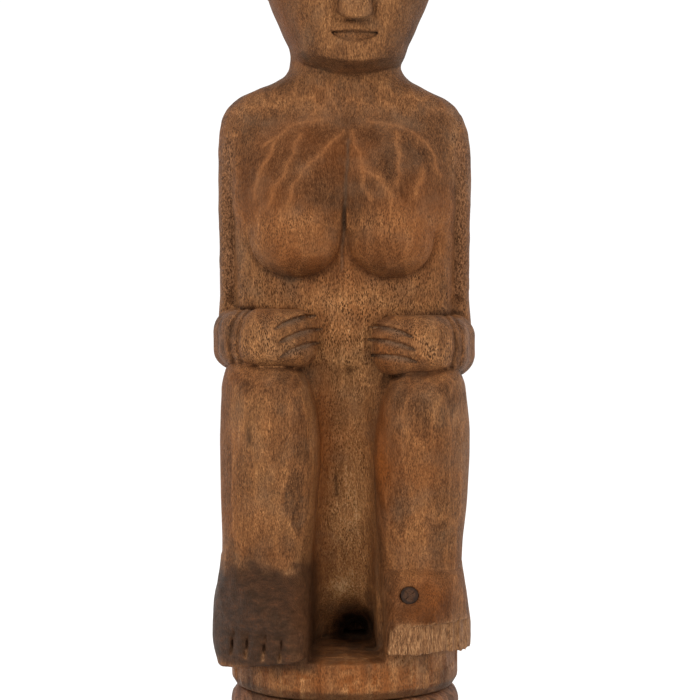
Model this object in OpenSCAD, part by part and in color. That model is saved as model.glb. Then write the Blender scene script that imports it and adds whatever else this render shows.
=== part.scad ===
// Seated fertility doll, carved from one log down to its round foot drum,
// standing on a separate ring and plinth. Millimetres, +Z up, front faces -Y,
// origin at the centre of the base's underside.

/* [Overall] */
// Width across the elbows
elbow_w = 156; // [140:1:165]
// Height of the crown above the ground
crown_z = 545; // [535:1:560]
// Depth of the carved log behind the centre line
back_y = 58; // [52:1:60]

/* [Foot drum and pedestal] */
// Radius of the drum that is carved with the figure
drum_r = 68; // [64:0.5:70]
// Height of the drum's top, on which the feet stand
drum_top_z = 87; // [84:1:90]
// Height of the joint between the drum and the ring
drum_bottom_z = 62; // [56:1:66]
// Radius of the ring at its widest
ring_r = 68.4; // [65:0.2:70]
// Height of the joint between the ring and the plinth
ring_bottom_z = 42; // [38:1:46]
// Radius of the plinth at the ground
plinth_r = 77; // [74:1:80]
// Thickness of the felt under the plinth
felt_t = 1.6; // [1:0.2:3]

/* [Fixings] */
// Radius of the hardwood dowel that joins figure, ring and plinth
dowel_r = 11; // [8:0.5:13]
// Radius of the two pegs that stop the figure turning
peg_r = 4; // [3:0.5:5]
// Number of screws through the plinth
screw_count = 3; // [2:1:4]
// Radius of a screw's shank
screw_r = 2; // [1.5:0.1:2.5]

/* [Body] */
// Half the width of the chest and belly, without the arms
chest_half_w = 66; // [62:1:68]
// Half the width of the neck
neck_half_w = 33; // [30:1:36]
// Distance of each breast from the centre line
breast_x = 27; // [25:0.5:29]
// Height of the nipple line
breast_z = 325; // [320:1:330]
// Half the width of the gap between the shins
gap_half_w = 17.5; // [15:0.5:18]
// Turn of the head towards the doll's left
head_turn = 5; // [0:1:8]

/* [Hidden] */

fit = 0.1;            // clearance of a glued or driven fit, on the radius
ring_sides = 28;      // corners of a body section
limb_fn = 16;         // corners of a limb's rounded ends
skin = 0.02;          // thickness of a section before it is hulled
groove_r = 2.4;       // radius of the V between drum and ring
dowel_top_z = drum_bottom_z + 18;
dowel_bottom_z = 14;
bore_h = 100;         // length of a cutting tool, longer than any bore
bead_r = (drum_bottom_z - ring_bottom_z) / 2;
flare_r = 25;         // radius of the plinth's hollow curve
plinth_neck_r = 64;   // radius of the plinth where it meets the ring
peg_x = 40;
peg_y = 18;
peg_bottom_z = 26;
peg_top_z = drum_bottom_z + 14;
screw_pitch_r = 44;
screw_top_z = drum_bottom_z + 14;
screw_head_r = 4.2;
screw_head_h = 3.6;
screw_head_z = felt_t + 0.6;
screw_point_h = 5;
slot_w = 1;
dowel_bevel = 1.5;
ankle_z = 131;
channel_r = 12;
channel_knee_y = -26;  // depth of the channel's floor under the knees
channel_shin_y = -6;   // and half way down the shins
channel_foot_y = 11;   // and at the drum
channel_shin_z = 130;
hand_z = 264;
elbow_half_w = elbow_w / 2;
plug_at = [37, -58.2, 120.5];
plug_r = 5;
plug_depth = 9;
instep_lean = 21;     // slope of the instep from upright, degrees

// ---------------------------------------------------------------- helpers

// A rounded outline, from an ellipse (power 2) towards a rectangle.
function outline(hx, hy, power) =
    [for (i = [0 : ring_sides - 1])
        let (a = 360 * i / ring_sides, c = cos(a), s = sin(a))
        [hx * sign(c) * pow(abs(c), 2 / power),
         hy * sign(s) * pow(abs(s), 2 / power)]];

// A level section: [z, centre x, centre y, half width, half depth, power].
module section(s)
    translate([s[1], s[2], s[0]])
        linear_extrude(skin) polygon(outline(s[3], s[4], s[5]));

// A solid through a stack of sections.
module loft(stack)
    for (i = [0 : len(stack) - 2])
        hull() {
            section(stack[i]);
            section(stack[i + 1]);
        }

// An egg: centre and the three half sizes.
module egg(at, half)
    translate(at) scale(half) sphere(1, $fn = limb_fn);

// A limb through a chain of eggs.
module limb(chain)
    for (i = [0 : len(chain) - 2])
        hull() {
            egg(chain[i][0], chain[i][1]);
            egg(chain[i + 1][0], chain[i + 1][1]);
        }

// Puts its children at every screw place.
module at_screws()
    for (i = [0 : screw_count - 1])
        rotate(90 + 360 * i / screw_count) translate([screw_pitch_r, 0, 0]) children();

// Puts its children at both peg places.
module at_pegs()
    for (side = [-1, 1]) translate([side * peg_x, peg_y, 0]) children();

// ---------------------------------------------------------------- the carving

// Round drum under the feet, with its lower edge cut back to the joint.
module foot_drum()
    rotate_extrude($fn = 72)
        polygon([[0, drum_bottom_z], [drum_r - groove_r, drum_bottom_z],
                 [drum_r, drum_bottom_z + 5], [drum_r, drum_top_z - 1],
                 [drum_r - 1, drum_top_z], [0, drum_top_z]]);

// Stool and buttocks: one block that the shins stand out from, in low relief.
module seat()
    loft([[drum_top_z - 2, 0, 15, 57, back_y - 17, 2.8],
          [120, 0, 16, 60, back_y - 17, 2.8],
          [192, 0, 17, 63, back_y - 17, 2.8],
          [198, 0, 17, 66, back_y - 15, 2.8],
          [222, 0, 17, 67, back_y - 14, 2.8],
          [250, 0, 18, 63, back_y - 18, 2.8]]);

// Channel between the shins, which runs deeper towards the drum.
module shin_channel()
    union() {
        channel_run([250, channel_knee_y - channel_r], [channel_shin_z, channel_shin_y - channel_r]);
        channel_run([channel_shin_z, channel_shin_y - channel_r],
                    [drum_top_z + channel_r, channel_foot_y - channel_r]);
    }

// One run of the channel, open to the front. Ends are [height, centre depth].
module channel_run(high, low)
    hull()
        for (end = [high, low], reach = [0, -110])
            egg([1, end[1] + reach, end[0]], [gap_half_w, channel_r, channel_r]);

// Belly, chest and shoulders.
module torso()
    loft([[240, 0, 16, 62, 39, 3],
          [285, 0, 13, chest_half_w - 2, 38, 3],
          [330, 0, 12, chest_half_w + 1, 39, 2.8],
          [368, 0, 12, chest_half_w + 6, 39, 2.6],
          [388, 0, 12, chest_half_w + 7, 36, 2.4],
          [400, 0, 12, 68, 32, 2.3],
          [410, 0, 12, 58, 29, 2.2],
          [418, 1, 10, 44, 27, 2.1],
          [426, 2, 8, neck_half_w + 2, 27, 2],
          [436, 2, 8, neck_half_w, 27, 2]]);

module breast(side)
    hull() {
        egg([side * breast_x, -22, breast_z], [27, 22, 21]);
        egg([side * (breast_x + 2), -20, breast_z + 34], [20, 9, 12]);
    }

// Skull and jaw, upright; head() turns it.
module skull()
    loft([[426, 0, -4, 17, 35, 2.2],
          [430, 0, -2, 25, 37, 2.3],
          [440, 0, 0, 36, 40, 2.4],
          [455, 0, 1, 44, 43, 2.4],
          [475, 0, 2, 49, 45, 2.3],
          [500, 0, 3, 51, 46, 2.2],
          [520, 0, 4, 45, 41, 2.1],
          [534, 0, 5, 32, 30, 2],
          [crown_z - 3, 0, 5, 18, 17, 2],
          [crown_z, 0, 5, 8, 8, 2]]);

// Wedge-shaped nose, wider at the nostrils.
module nose()
    hull() {
        translate([0, -44, 453]) cube([22, 8, 3], center = true);
        translate([0, -47, 455]) cube([14, 8, 2], center = true);
        translate([0, -42, 486]) cube([9, 6, 2], center = true);
    }

// Shallow lens-shaped cut, for the mouth and the closed eyes.
module lens_cut(at, half_w, half_h)
    translate(at) rotate([90, 0, 0]) scale([half_w, half_h, 3]) sphere(1, $fn = 16);

module head()
    translate([2.5, 0, 0]) rotate(head_turn)
        difference() {
            union() {
                skull();
                nose();
            }
            lens_cut([0, -41, 440], 14, 2.6);
            for (side = [-1, 1]) lens_cut([side * 20, -42, 482], 10, 3);
        }

// Upper arm, held against the side and set back from the chest.
module upper_arm(side)
    limb([[[side * 60, 14, 382], [14, 22, 14]],
          [[side * 65.5, 16, 350], [10, 21, 16]],
          [[side * 65.5, 17, 300], [10, 20, 16]],
          [[side * 66, 16, 272], [11, 20, 18]]]);

// Forearm and hand, laid forward on the knee with the fingers turned in.
module forearm(side)
    limb([[[side * (elbow_half_w - 12), 14, hand_z], [12, 20, 18]],
          [[side * (elbow_half_w - 16), -22, hand_z], [15, 20, 18]],
          [[side * 48, -42, hand_z], [23, 19, 18]],
          [[side * 27, -40, hand_z - 1], [12, 17, 15]]]);

module finger_cuts(side)
    for (i = [-1 : 1])
        translate([side * 24, -57, hand_z + i * 8])
            rotate([0, -side * i * 8, side * 28]) scale([14, 3, 1.4]) sphere(1, $fn = 12);

// Shin, from the knee under the hand to the ankle.
module shin(side)
    loft([[ankle_z - 6, side * 45, -22, 25, 33, 2.8],
          [150, side * 44.5, -22, 26, 35, 2.7],
          [180, side * 43.5, -22, 27, 37, 2.6],
          [210, side * 43.5, -22, 27.5, 39, 2.6],
          [232, side * 44, -22, 26, 39, 2.6],
          [250, side * 44, -22, 20, 35, 2.4]]);

// Foot on the drum. toe_y is how far forward it reaches.
module foot(side, toe_y)
    hull() {
        translate([0, 0, drum_top_z - 1]) section([0, side * 46, (toe_y + 8) / 2, 26, (8 - toe_y) / 2, 4]);
        section([102, side * 46, (toe_y + 8) / 2 + 1, 26, (8 - toe_y) / 2 - 1, 3.6]);
        section([ankle_z, side * 45, -24, 25, 32, 3]);
    }

module toe_cuts()
    for (i = [0 : 3])
        translate([-64 + i * 10.5, -78, 92]) cube([1.2, 14, 20], center = true);

module figure_solid()
    union() {
        foot_drum();
        seat();
        torso();
        head();
        for (side = [-1, 1]) {
            breast(side);
            upper_arm(side);
            forearm(side);
            shin(side);
        }
        foot(-1, -78);
        foot(1, -68);
    }

module hollowed_figure()
    difference() {
        figure_solid();
        shin_channel();
    }

module carved_figure() color("saddlebrown")
    difference() {
        hollowed_figure();
        for (side = [-1, 1]) finger_cuts(side);
        toe_cuts();
        // Navel
        egg([3, -25, 248], [3, 4, 3]);
        // Blind holes for the dowel, the pegs and the screws
        translate([0, 0, drum_bottom_z - 1])
            cylinder(r = dowel_r + 3 * fit, h = dowel_top_z - drum_bottom_z + 2, $fn = 48);
        at_pegs() translate([0, 0, drum_bottom_z - 1])
            cylinder(r = peg_r + 3 * fit, h = peg_top_z - drum_bottom_z + 2, $fn = 32);
        at_screws() translate([0, 0, drum_bottom_z - 1])
            cylinder(r = screw_r + 3 * fit, h = screw_top_z - drum_bottom_z + 2, $fn = 24);
        plug_place() translate([0, 0, -plug_depth - 0.5])
            cylinder(r = plug_r + 3 * fit, h = plug_depth + 6, $fn = 32);
    }

// ---------------------------------------------------------------- the pedestal

// Bores for dowel, pegs and screws, cut through ring and plinth.
module through_bores(low_z)
    union() {
        translate([0, 0, low_z]) cylinder(r = dowel_r + fit, h = bore_h, $fn = 64);
        at_pegs() translate([0, 0, max(low_z, peg_bottom_z)]) cylinder(r = peg_r + fit, h = bore_h, $fn = 48);
        at_screws() translate([0, 0, screw_head_z - 1]) cylinder(r = screw_r + fit, h = bore_h, $fn = 32);
    }

// Half-round bead between the drum and the plinth.
module pedestal_ring() color("sienna")
    difference() {
        rotate_extrude($fn = 96)
            union() {
                translate([0, ring_bottom_z])
                    square([ring_r - bead_r, drum_bottom_z - ring_bottom_z]);
                intersection() {
                    translate([ring_r - bead_r, (drum_bottom_z + ring_bottom_z) / 2]) circle(bead_r, $fn = 64);
                    translate([ring_r - bead_r - 0.5, ring_bottom_z])
                        square([bead_r + 1, drum_bottom_z - ring_bottom_z]);
                }
            }
        through_bores(ring_bottom_z - 1);
    }

// Plinth: a neck under the ring, flaring to a low vertical edge.
module pedestal_plinth() color("sienna")
    difference() {
        rotate_extrude($fn = 96)
            difference() {
                translate([0, felt_t]) square([plinth_r, ring_bottom_z - felt_t]);
                translate([plinth_neck_r + flare_r, ring_bottom_z]) circle(flare_r, $fn = 96);
            }
        through_bores(dowel_bottom_z - 0.5);
        at_screws() translate([0, 0, screw_head_z])
            cylinder(r1 = screw_head_r + fit, r2 = screw_r + fit, h = screw_head_h, $fn = 48);
        at_screws() cylinder(r = screw_head_r + fit, h = screw_head_z, $fn = 48);
    }

module centre_dowel() color("burlywood")
    translate([0, 0, dowel_bottom_z])
        union() {
            cylinder(r1 = dowel_r - dowel_bevel, r2 = dowel_r, h = dowel_bevel, $fn = 64);
            translate([0, 0, dowel_bevel])
                cylinder(r = dowel_r, h = dowel_top_z - dowel_bottom_z - 2 * dowel_bevel, $fn = 64);
            translate([0, 0, dowel_top_z - dowel_bottom_z - dowel_bevel])
                cylinder(r1 = dowel_r, r2 = dowel_r - dowel_bevel, h = dowel_bevel, $fn = 64);
        }

module locating_pegs() color("burlywood")
    at_pegs() translate([0, 0, peg_bottom_z + 0.5])
        cylinder(r = peg_r, h = peg_top_z - peg_bottom_z - 1, $fn = 48);

// Countersunk wood screw, with a slot across its head.
module wood_screw()
    difference() {
        union() {
            translate([0, 0, screw_head_z])
                cylinder(r1 = screw_head_r, r2 = screw_r, h = screw_head_h, $fn = 48);
            translate([0, 0, screw_head_z + screw_head_h])
                cylinder(r = screw_r, h = screw_top_z - screw_head_z - screw_head_h - screw_point_h,
                         $fn = 32);
            translate([0, 0, screw_top_z - screw_point_h])
                cylinder(r1 = screw_r, r2 = 0.3, h = screw_point_h - 0.5, $fn = 32);
        }
        translate([0, 0, screw_head_z]) cube([2 * screw_head_r + 2, slot_w, 2], center = true);
    }

module base_screws() color("dimgray") at_screws() wood_screw();

module felt_disc() color("darkolivegreen") cylinder(r = plinth_r - 2, h = felt_t, $fn = 96);

// The instep's face, with +Z pointing out of it.
module plug_place()
    translate(plug_at) rotate([90 - instep_lean, 0, 0]) children();

module instep_plug() color("#2e2019")
    plug_place() translate([0, 0, -plug_depth]) cylinder(r = plug_r, h = plug_depth + 0.5, $fn = 48);

// ---------------------------------------------------------------- nodes

carved_figure();
pedestal_ring();
pedestal_plinth();
centre_dowel();
locating_pegs();
base_screws();
felt_disc();
instep_plug();
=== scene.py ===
import math

import bpy
import numpy as np
import openvdb
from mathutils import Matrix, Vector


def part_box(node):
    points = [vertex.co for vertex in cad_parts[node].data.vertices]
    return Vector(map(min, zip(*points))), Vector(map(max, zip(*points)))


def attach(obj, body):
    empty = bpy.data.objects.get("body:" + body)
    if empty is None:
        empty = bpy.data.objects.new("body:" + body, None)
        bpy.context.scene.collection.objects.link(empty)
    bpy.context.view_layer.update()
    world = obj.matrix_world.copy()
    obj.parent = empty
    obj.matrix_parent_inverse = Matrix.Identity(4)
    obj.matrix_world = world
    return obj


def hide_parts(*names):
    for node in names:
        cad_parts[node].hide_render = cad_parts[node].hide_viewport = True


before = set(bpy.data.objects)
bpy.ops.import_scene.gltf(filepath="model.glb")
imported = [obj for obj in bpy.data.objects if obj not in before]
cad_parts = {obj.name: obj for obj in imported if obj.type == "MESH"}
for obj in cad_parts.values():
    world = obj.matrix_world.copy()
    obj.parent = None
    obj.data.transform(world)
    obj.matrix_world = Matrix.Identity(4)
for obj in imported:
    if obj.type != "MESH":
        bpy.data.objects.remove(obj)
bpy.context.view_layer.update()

# ---------------------------------------------------------------- the carved figure
# A seated doll with its hands on its knees, cut with gouges and a knife from one log of a
# mahogany-like hardwood, down to the round drum under its feet. It is worked here the same way:
# rounded masses are joined into one block, and then grooves, creases and tool cuts are taken out.
# Lengths are in millimetres up to the point where the block becomes a mesh.

MM = 0.001
LOG_RADIUS = 80.9
DRUM_RADIUS = 68.0
DRUM_TOP = 87.0
DRUM_FOOT = 62.0
GRID = 1.0
MOST_TRIANGLES = 190_000


class Block:
    """A block on a grid of points. Each point holds its distance to the surface, below zero in the wood."""

    def __init__(self, low, high, step):
        self.low = np.array(low, float)
        self.step = step
        self.count = np.ceil((np.array(high) - self.low) / step).astype(int) + 1
        self.depth = np.full(self.count, 40.0, np.float32)

    def part(self, low, high):
        """The stretch of the grid between two corners, with its x, y and z."""
        first = np.clip(((np.array(low) - self.low) / self.step).astype(int), 0, self.count - 1)
        last = np.clip(np.ceil((np.array(high) - self.low) / self.step).astype(int) + 1, 1, self.count)
        where = tuple(slice(a, b) for a, b in zip(first, last))
        x, y, z = (
            (self.low[i] + self.step * np.arange(first[i], last[i])).astype(np.float32)
            for i in range(3)
        )
        return where, x[:, None, None], y[None, :, None], z[None, None, :]

    def join(self, low, high, shape, blend=2.0, stop_cut=0.0):
        """Adds a mass. A stop cut is the knife line that a carver sinks along the seam."""
        where, x, y, z = self.part(low, high)
        before, added = self.depth[where], shape(x, y, z)
        self.depth[where] = soft_min(before, added, blend) + stop_cut * bump(added - before, 0.3, 1.1)

    def cut(self, low, high, shape, blend=0.6):
        where, x, y, z = self.part(low, high)
        self.depth[where] = soft_max(self.depth[where], -shape(x, y, z), blend)

    def press(self, low, high, sink):
        """Lowers the surface, whichever way it faces, by the depth that sink gives."""
        where, x, y, z = self.part(low, high)
        self.depth[where] += sink(x, y, z)

    def at(self, points):
        """The distance at any points, between the grid's own."""
        place = (points - self.low) / self.step
        corner = np.clip(np.floor(place).astype(int), 0, self.count - 2)
        share = np.clip(place - corner, 0, 1)
        found = np.zeros(len(points))
        for i in (0, 1):
            for j in (0, 1):
                for k in (0, 1):
                    weight = (
                        (share[:, 0] if i else 1 - share[:, 0])
                        * (share[:, 1] if j else 1 - share[:, 1])
                        * (share[:, 2] if k else 1 - share[:, 2])
                    )
                    found += weight * self.depth[corner[:, 0] + i, corner[:, 1] + j, corner[:, 2] + k]
        return found

    def mesh(self, name):
        """The block's surface as a mesh in millimetres."""
        grid = openvdb.FloatGrid(6.0)
        grid.copyFromArray(np.clip(self.depth, -6, 6), tolerance=0.0)
        points, triangles, quads = grid.convertToPolygons(isovalue=0.0, adaptivity=0.0)
        points = self.low + points * self.step
        faces = [tuple(f) for f in triangles.tolist()] + [tuple(f) for f in quads.tolist()]
        surface = bpy.data.meshes.new(name)
        surface.from_pydata(points.tolist(), [], faces)
        surface.update()
        return surface


def soft_min(a, b, blend):
    h = np.maximum(blend - np.abs(a - b), 0) / np.maximum(blend, 1e-3)
    return np.minimum(a, b) - h * h * blend / 4


def soft_max(a, b, blend):
    return -soft_min(-a, -b, blend)


def smooth(low, high, value):
    t = np.clip((value - low) / (high - low), 0, 1)
    return t * t * (3 - 2 * t)


def bump(value, middle, width):
    """A smooth hill, one at the middle and nothing beyond about twice the width."""
    return np.exp(-(((value - middle) / width) ** 2))


def fair(z, heights, values, reach):
    """A value drawn along the height, with its corners faired over the reach."""
    line = z.ravel()
    fine = np.arange(line[0] - 3 * reach - 2, line[-1] + 3 * reach + 2, 0.5)
    drawn = np.interp(fine, heights, values)
    window = np.hanning(max(3, int(4 * reach)))
    drawn = np.convolve(drawn, window / window.sum(), mode="same")
    return np.interp(line, fine, drawn)[None, None, :].astype(np.float32)


def column(rows, reach=5.0, mirror=1):
    """A mass through level sections: height, left, right, front, back, squareness."""
    rows = sorted(rows)
    heights, left, right, front, back, square = (np.array(v, float) for v in zip(*rows))

    def shape(x, y, z):
        a, b, f, r, n = (fair(z, heights, v, reach) for v in (left, right, front, back, square))
        dx = mirror * x - (a + b) / 2
        dy = y - (f + r) / 2
        out = (np.abs(dx * 2 / (b - a)) ** n + np.abs(dy * 2 / (r - f)) ** n) ** (1 / n)
        side = np.hypot(dx, dy) * (1 - 1 / np.maximum(out, 0.05))
        return np.maximum(side, np.maximum(z - heights[-1], heights[0] - z))

    return shape


def egg(middle, half):
    def shape(x, y, z):
        px, py, pz = x - middle[0], y - middle[1], z - middle[2]
        near = np.sqrt((px / half[0]) ** 2 + (py / half[1]) ** 2 + (pz / half[2]) ** 2)
        steep = np.sqrt((px / half[0] ** 2) ** 2 + (py / half[1] ** 2) ** 2 + (pz / half[2] ** 2) ** 2)
        return near * (near - 1) / np.maximum(steep, 1e-4)

    return shape


def limb(start, end, start_radius, end_radius):
    a, b = np.array(start, float), np.array(end, float)
    run = b - a

    def shape(x, y, z):
        t = ((x - a[0]) * run[0] + (y - a[1]) * run[1] + (z - a[2]) * run[2]) / run.dot(run)
        t = np.clip(t, 0, 1)
        away = np.sqrt(
            (x - a[0] - t * run[0]) ** 2 + (y - a[1] - t * run[1]) ** 2 + (z - a[2] - t * run[2]) ** 2
        )
        return away - (start_radius + (end_radius - start_radius) * t)

    return shape


def bolster(path, middle_z, half_h, edge):
    """A flat-sided roll along a level path of x, y and radius, with its edges rounded."""

    def shape(x, y, z):
        plan = np.full(np.broadcast(x, y).shape, 99.0, np.float32)
        for (ax, ay, ar), (bx, by, br) in zip(path, path[1:]):
            run = np.array([bx - ax, by - ay])
            t = np.clip(((x - ax) * run[0] + (y - ay) * run[1]) / run.dot(run), 0, 1)
            away = np.hypot(x - ax - t * run[0], y - ay - t * run[1]) - (ar + (br - ar) * t)
            plan = soft_min(plan, away, 4.0)
        across, up = plan + edge, np.abs(z - middle_z) - half_h + edge
        return (
            np.hypot(np.maximum(across, 0), np.maximum(up, 0))
            + np.minimum(np.maximum(across, up), 0)
            - edge
        )

    return shape


log = Block((-84, -84, 56), (84, 68, 551), GRID)

# Drum under the feet. Its top falls away to the rim, and its lower edge is cut back to the joint.
def drum(x, y, z):
    around = np.arctan2(y, x)
    radius = np.hypot(x, y)
    rim = DRUM_RADIUS + 0.35 * np.sin(3 * around + 1.0) + 0.25 * np.sin(8 * around) - 0.4
    rim = rim - 2.6 * smooth(67.5, DRUM_FOOT, z) - 0.9 * smooth(81.0, 85.0, z)
    top = DRUM_TOP - 2.8 * smooth(50.0, 68.0, radius)
    return soft_max(soft_max(radius - rim, z - top, 1.6), DRUM_FOOT - z, 1.0)


# Stool and hips: one block behind the shins, a little wider at the hips than at the stool.
stool = column(
    [
        (80, -56, 56, -30, 54, 3.4),
        (120, -59, 59, -30, 56, 3.4),
        (165, -61, 61, -30, 57, 3.4),
        (191, -61, 61, -30, 56, 3.4),
        (200, -65, 65, -32, 55, 3.2),
        (215, -68, 68, -32, 55, 3.0),
        (236, -67, 67, -27, 54, 3.0),
        (256, -62, 62, -14, 52, 3.2),
    ]
)

torso = column(
    [
        (236, -60, 60, -21, 53, 3.4),
        (262, -62.5, 62.5, -23, 51, 4.2),
        (285, -64.5, 64.5, -24.5, 50, 5.4),
        (310, -65, 65, -25.5, 50, 5.4),
        (335, -66.5, 66.5, -27, 50, 5.0),
        (362, -71, 69.5, -29.5, 50, 3.6),
        (378, -75, 73, -29, 50, 3.0),
        (390, -75.6, 73.6, -27, 47, 2.8),
        (398, -74.4, 72, -25, 44, 2.7),
        (405, -71, 68, -23.6, 41, 2.6),
        (409, -67, 63.5, -23.2, 39, 2.5),
        (412.5, -62.0, 57.0, -23.2, 37, 2.4),
        (416, -53, 49, -23.4, 36, 2.3),
        (419.5, -43.5, 41.5, -24, 35, 2.2),
        (423.5, -36.4, 36.8, -24.6, 34, 2.1),
        (428, -33.6, 34.2, -25, 33.5, 2.0),
        (436, -32.4, 33.0, -25, 33, 2.0),
        (448, -32.4, 33, -25, 33, 2.0),
    ],
    reach=3.0,
)


def upper_arm(side):
    return column(
        [
            (256, 54, 77.2, -7, 35, 3.2),
            (275, 56, 76.8, -7, 36, 3.4),
            (290, 57, 75.2, -7.5, 36, 3.6),
            (330, 57, 75.8, -8.5, 37, 3.6),
            (360, 56, 76.4, -10, 38, 3.2),
            (382, 54, 76.2, -12, 38, 2.7),
            (392, 50, 74.6, -11, 36, 2.5),
            (400, 46, 70.6, -8, 32, 2.3),
        ],
        mirror=side,
    )


# Each breast is round and full below, and runs out in a long slope above.
def breast(side, inner, outer):
    half_w = (outer - inner) / 2

    def shape(x, y, z):
        above = z > 324.0
        tall = np.where(above, 50.0, 22.6)
        px = (side * x - (inner + outer) / 2) / half_w
        py = (y + 21.0) / np.where(above, 20.0, 20.6)
        pz = (z - 324.0) / tall
        near = np.sqrt(px**2 + py**2 + pz**2)
        return (near - 1) * 20.0 * np.clip(1 + 0.3 * (near - 1), 0.6, 1.3)

    return shape


# Head: an egg above, and a jaw that narrows to the chin. It looks a little to the doll's left.
HEAD_TURN = math.radians(5.0)
HEAD_X = 2.4
crown = egg((0, 1, 488), (51.4, 44.5, 56.5))

def turned(x, y):
    dx = x - HEAD_X
    return (
        dx * math.cos(HEAD_TURN) + y * math.sin(HEAD_TURN),
        y * math.cos(HEAD_TURN) - dx * math.sin(HEAD_TURN),
    )


def head(x, y, z):
    u, v = turned(x, y)
    dome = soft_max(crown(u, v, z), 478.0 - z, 1.0)
    mass = soft_min(dome, jaw_shape(u, v, z), 5.0)
    face = -(v + 42.4) + 0.0016 * u * u
    edge = np.interp(z, [424, 429, 437, 443, 450, 460, 478], [15, 22, 30.5, 35.5, 39.5, 44.5, 50.5])
    bevel = (np.abs(u) - edge.astype(np.float32) - (v + 42.4) * 0.75) * 0.8
    bevel = np.where(z < 478, bevel, bevel - (z - 478) * 0.8)
    mass = soft_max(mass, face, 1.2)
    return soft_max(mass, bevel, 0.8)


def jaw_shape(u, v, z):
    heights = np.array([421, 426, 434, 441, 448.6, 456, 463, 470, 480, 489], float)
    half_w = np.array([24, 28, 33.2, 35.4, 39.3, 42.3, 45.6, 48.3, 50.2, 50.6])
    front = np.array([36, 42, 44, 44.6, 45, 45.4, 45.6, 45.2, 44.0, 43.0])
    back = np.array([30, 34, 37, 39, 41, 43, 44, 44.6, 44.8, 44.8])
    w, f, b = (fair(z, heights, side, 3.0) for side in (half_w, front, back))
    deep = np.where(v < 0, f, b)
    square = 2.4 - 0.4 * smooth(464, 482, z)
    out = (np.abs(u / w) ** square + np.abs(v / deep) ** square) ** (1 / square)
    side = np.hypot(u, v) * (1 - 1 / np.maximum(out, 0.05))
    chin = 426.6 + 0.0128 * u * u
    under = (chin - 0.30 * (v + 42.4) - z) * 0.95
    return soft_max(np.maximum(side, z - 489.0), under, 0.7)


def nose(x, y, z):
    u, v = turned(x, y)
    up = np.clip((z - 456) / 32, 0, 1)
    half_w = 10.8 - 6.4 * up**1.3
    proud = 8.6 - 7.2 * up
    front = -(v + 41.8) - proud
    under = 450.9 + 3.4 * np.abs(u / 10.6) ** 2.4 + 0.16 * (v + 42) - z
    side = np.abs(u) - half_w - 0.25 * (v + 42)
    return soft_max(soft_max(side, front, 2.4), soft_max(under, z - 489, 1.0), 1.6)


# Hands like mittens: the forearm comes forward along the side and turns in across the knee.
def forearm(side, middle_z, half_h):
    path = [(64.5, 16, 13.5), (64, -8, 14.2), (55.5, -30, 17.5), (45, -38.5, 19.5), (33.5, -38.5, 19.0)]
    slim = 0.7 + 0.6 * (side > 0)
    roll = bolster([(side * x, y, r - slim) for x, y, r in path], middle_z, half_h, 12.5)
    elbow = bolster([(side * x, y, r - slim - 1.2) for x, y, r in path[:2]], middle_z, half_h + 1.5, 13.0)
    return lambda x, y, z: soft_min(roll(x, y, z), elbow(x, y, z), 3.0)


def shin(side, rows):
    return column([(z, a, b, f, 14, 3.5) for z, a, b, f in rows], reach=6.0, mirror=side)


right_shin_rows = [
    (256, 30, 66, -44), (249, 24.5, 69.5, -53), (242, 20.5, 71.2, -58), (226, 16, 72.6, -61),
    (208, 13.8, 73.2, -60.5), (190, 14.2, 73.0, -58), (174, 16, 72.6, -55.5), (151, 17.7, 71.4, -52),
    (134, 19.8, 71.2, -50), (118, 20, 72.5, -50),
]
left_shin_rows = [
    (252, 31, 66, -44), (246, 28, 68.5, -52), (240, 25.5, 70.6, -57), (230, 21, 72.0, -60),
    (214, 18, 73.8, -60.5), (197, 17, 73.6, -59), (174, 17.7, 72.0, -55.5), (151, 18.7, 69.4, -52),
    (134, 19.6, 68.8, -50), (118, 20, 69.5, -50),
]
right_foot = column(
    [
        (74, 21, 73.5, -74, 6, 4.0),
        (84, 20, 77.5, -79, 6, 4.0),
        (92, 19.8, 79.6, -80.5, 6, 4.0),
        (99, 19.8, 80.0, -80, 7, 3.8),
        (105, 20, 79.2, -76, 8, 3.6),
        (113, 20, 78.0, -69.5, 8, 3.4),
        (122, 20, 75.4, -62, 8, 3.2),
        (131, 20, 73.0, -55, 8, 3.0),
        (140, 19.8, 71.4, -50.5, 8, 3.0),
    ],
    reach=4.0,
    mirror=-1,
)
left_foot = column(
    [
        (82, 22.6, 73.4, -75, 6, 5.0),
        (92, 22.8, 74.4, -75, 6, 5.0),
        (100, 22.6, 74.4, -73, 7, 4.6),
        (106, 22.4, 73.6, -68, 8, 4.2),
        (114, 21.8, 72.4, -63.5, 8, 3.8),
        (124, 20.8, 70.8, -58.5, 8, 3.6),
        (132, 20.2, 69.6, -54.5, 8, 3.4),
        (136, 19.8, 68.8, -50.0, 8, 3.2),
    ],
    reach=2.5,
    mirror=1,
)

log.join((-72, -72, 58), (72, 72, 92), drum)
log.join((-72, -42, 76), (72, 68, 262), stool, 1.0)
for side in (-1, 1):
    log.join((side * 34 - 44, 0, 186), (side * 34 + 44, 70, 262), egg((side * 31, 33, 222), (34, 26, 26)), 5)
    log.join((side * 50 - 34, -50, 192), (side * 50 + 34, 52, 258),
             limb((side * 47, 26, 226), (side * 46, -30, 228), 25.5, 22), 5)
log.join((-80, -40, 232), (80, 64, 452), torso, 5)
for side in (-1, 1):
    log.join((side * 60 - 24, -20, 250), (side * 60 + 24, 50, 410), upper_arm(side), 2.5)
where, x, y, z = log.part((-66, -52, 292), (66, 4, 400))
crisp_below = 0.8 + 17.0 * smooth(316, 352, z) * smooth(400, 384, z)
pair = soft_min(breast(-1, 0.6, 55.5)(x, y, z), breast(1, 0.6, 53.0)(x, y, z), 1.2)
seam = bump(pair - log.depth[where], 0.2, 1.2) * smooth(336, 322, z)
log.depth[where] = soft_min(log.depth[where], pair, crisp_below) + 0.9 * seam
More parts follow.
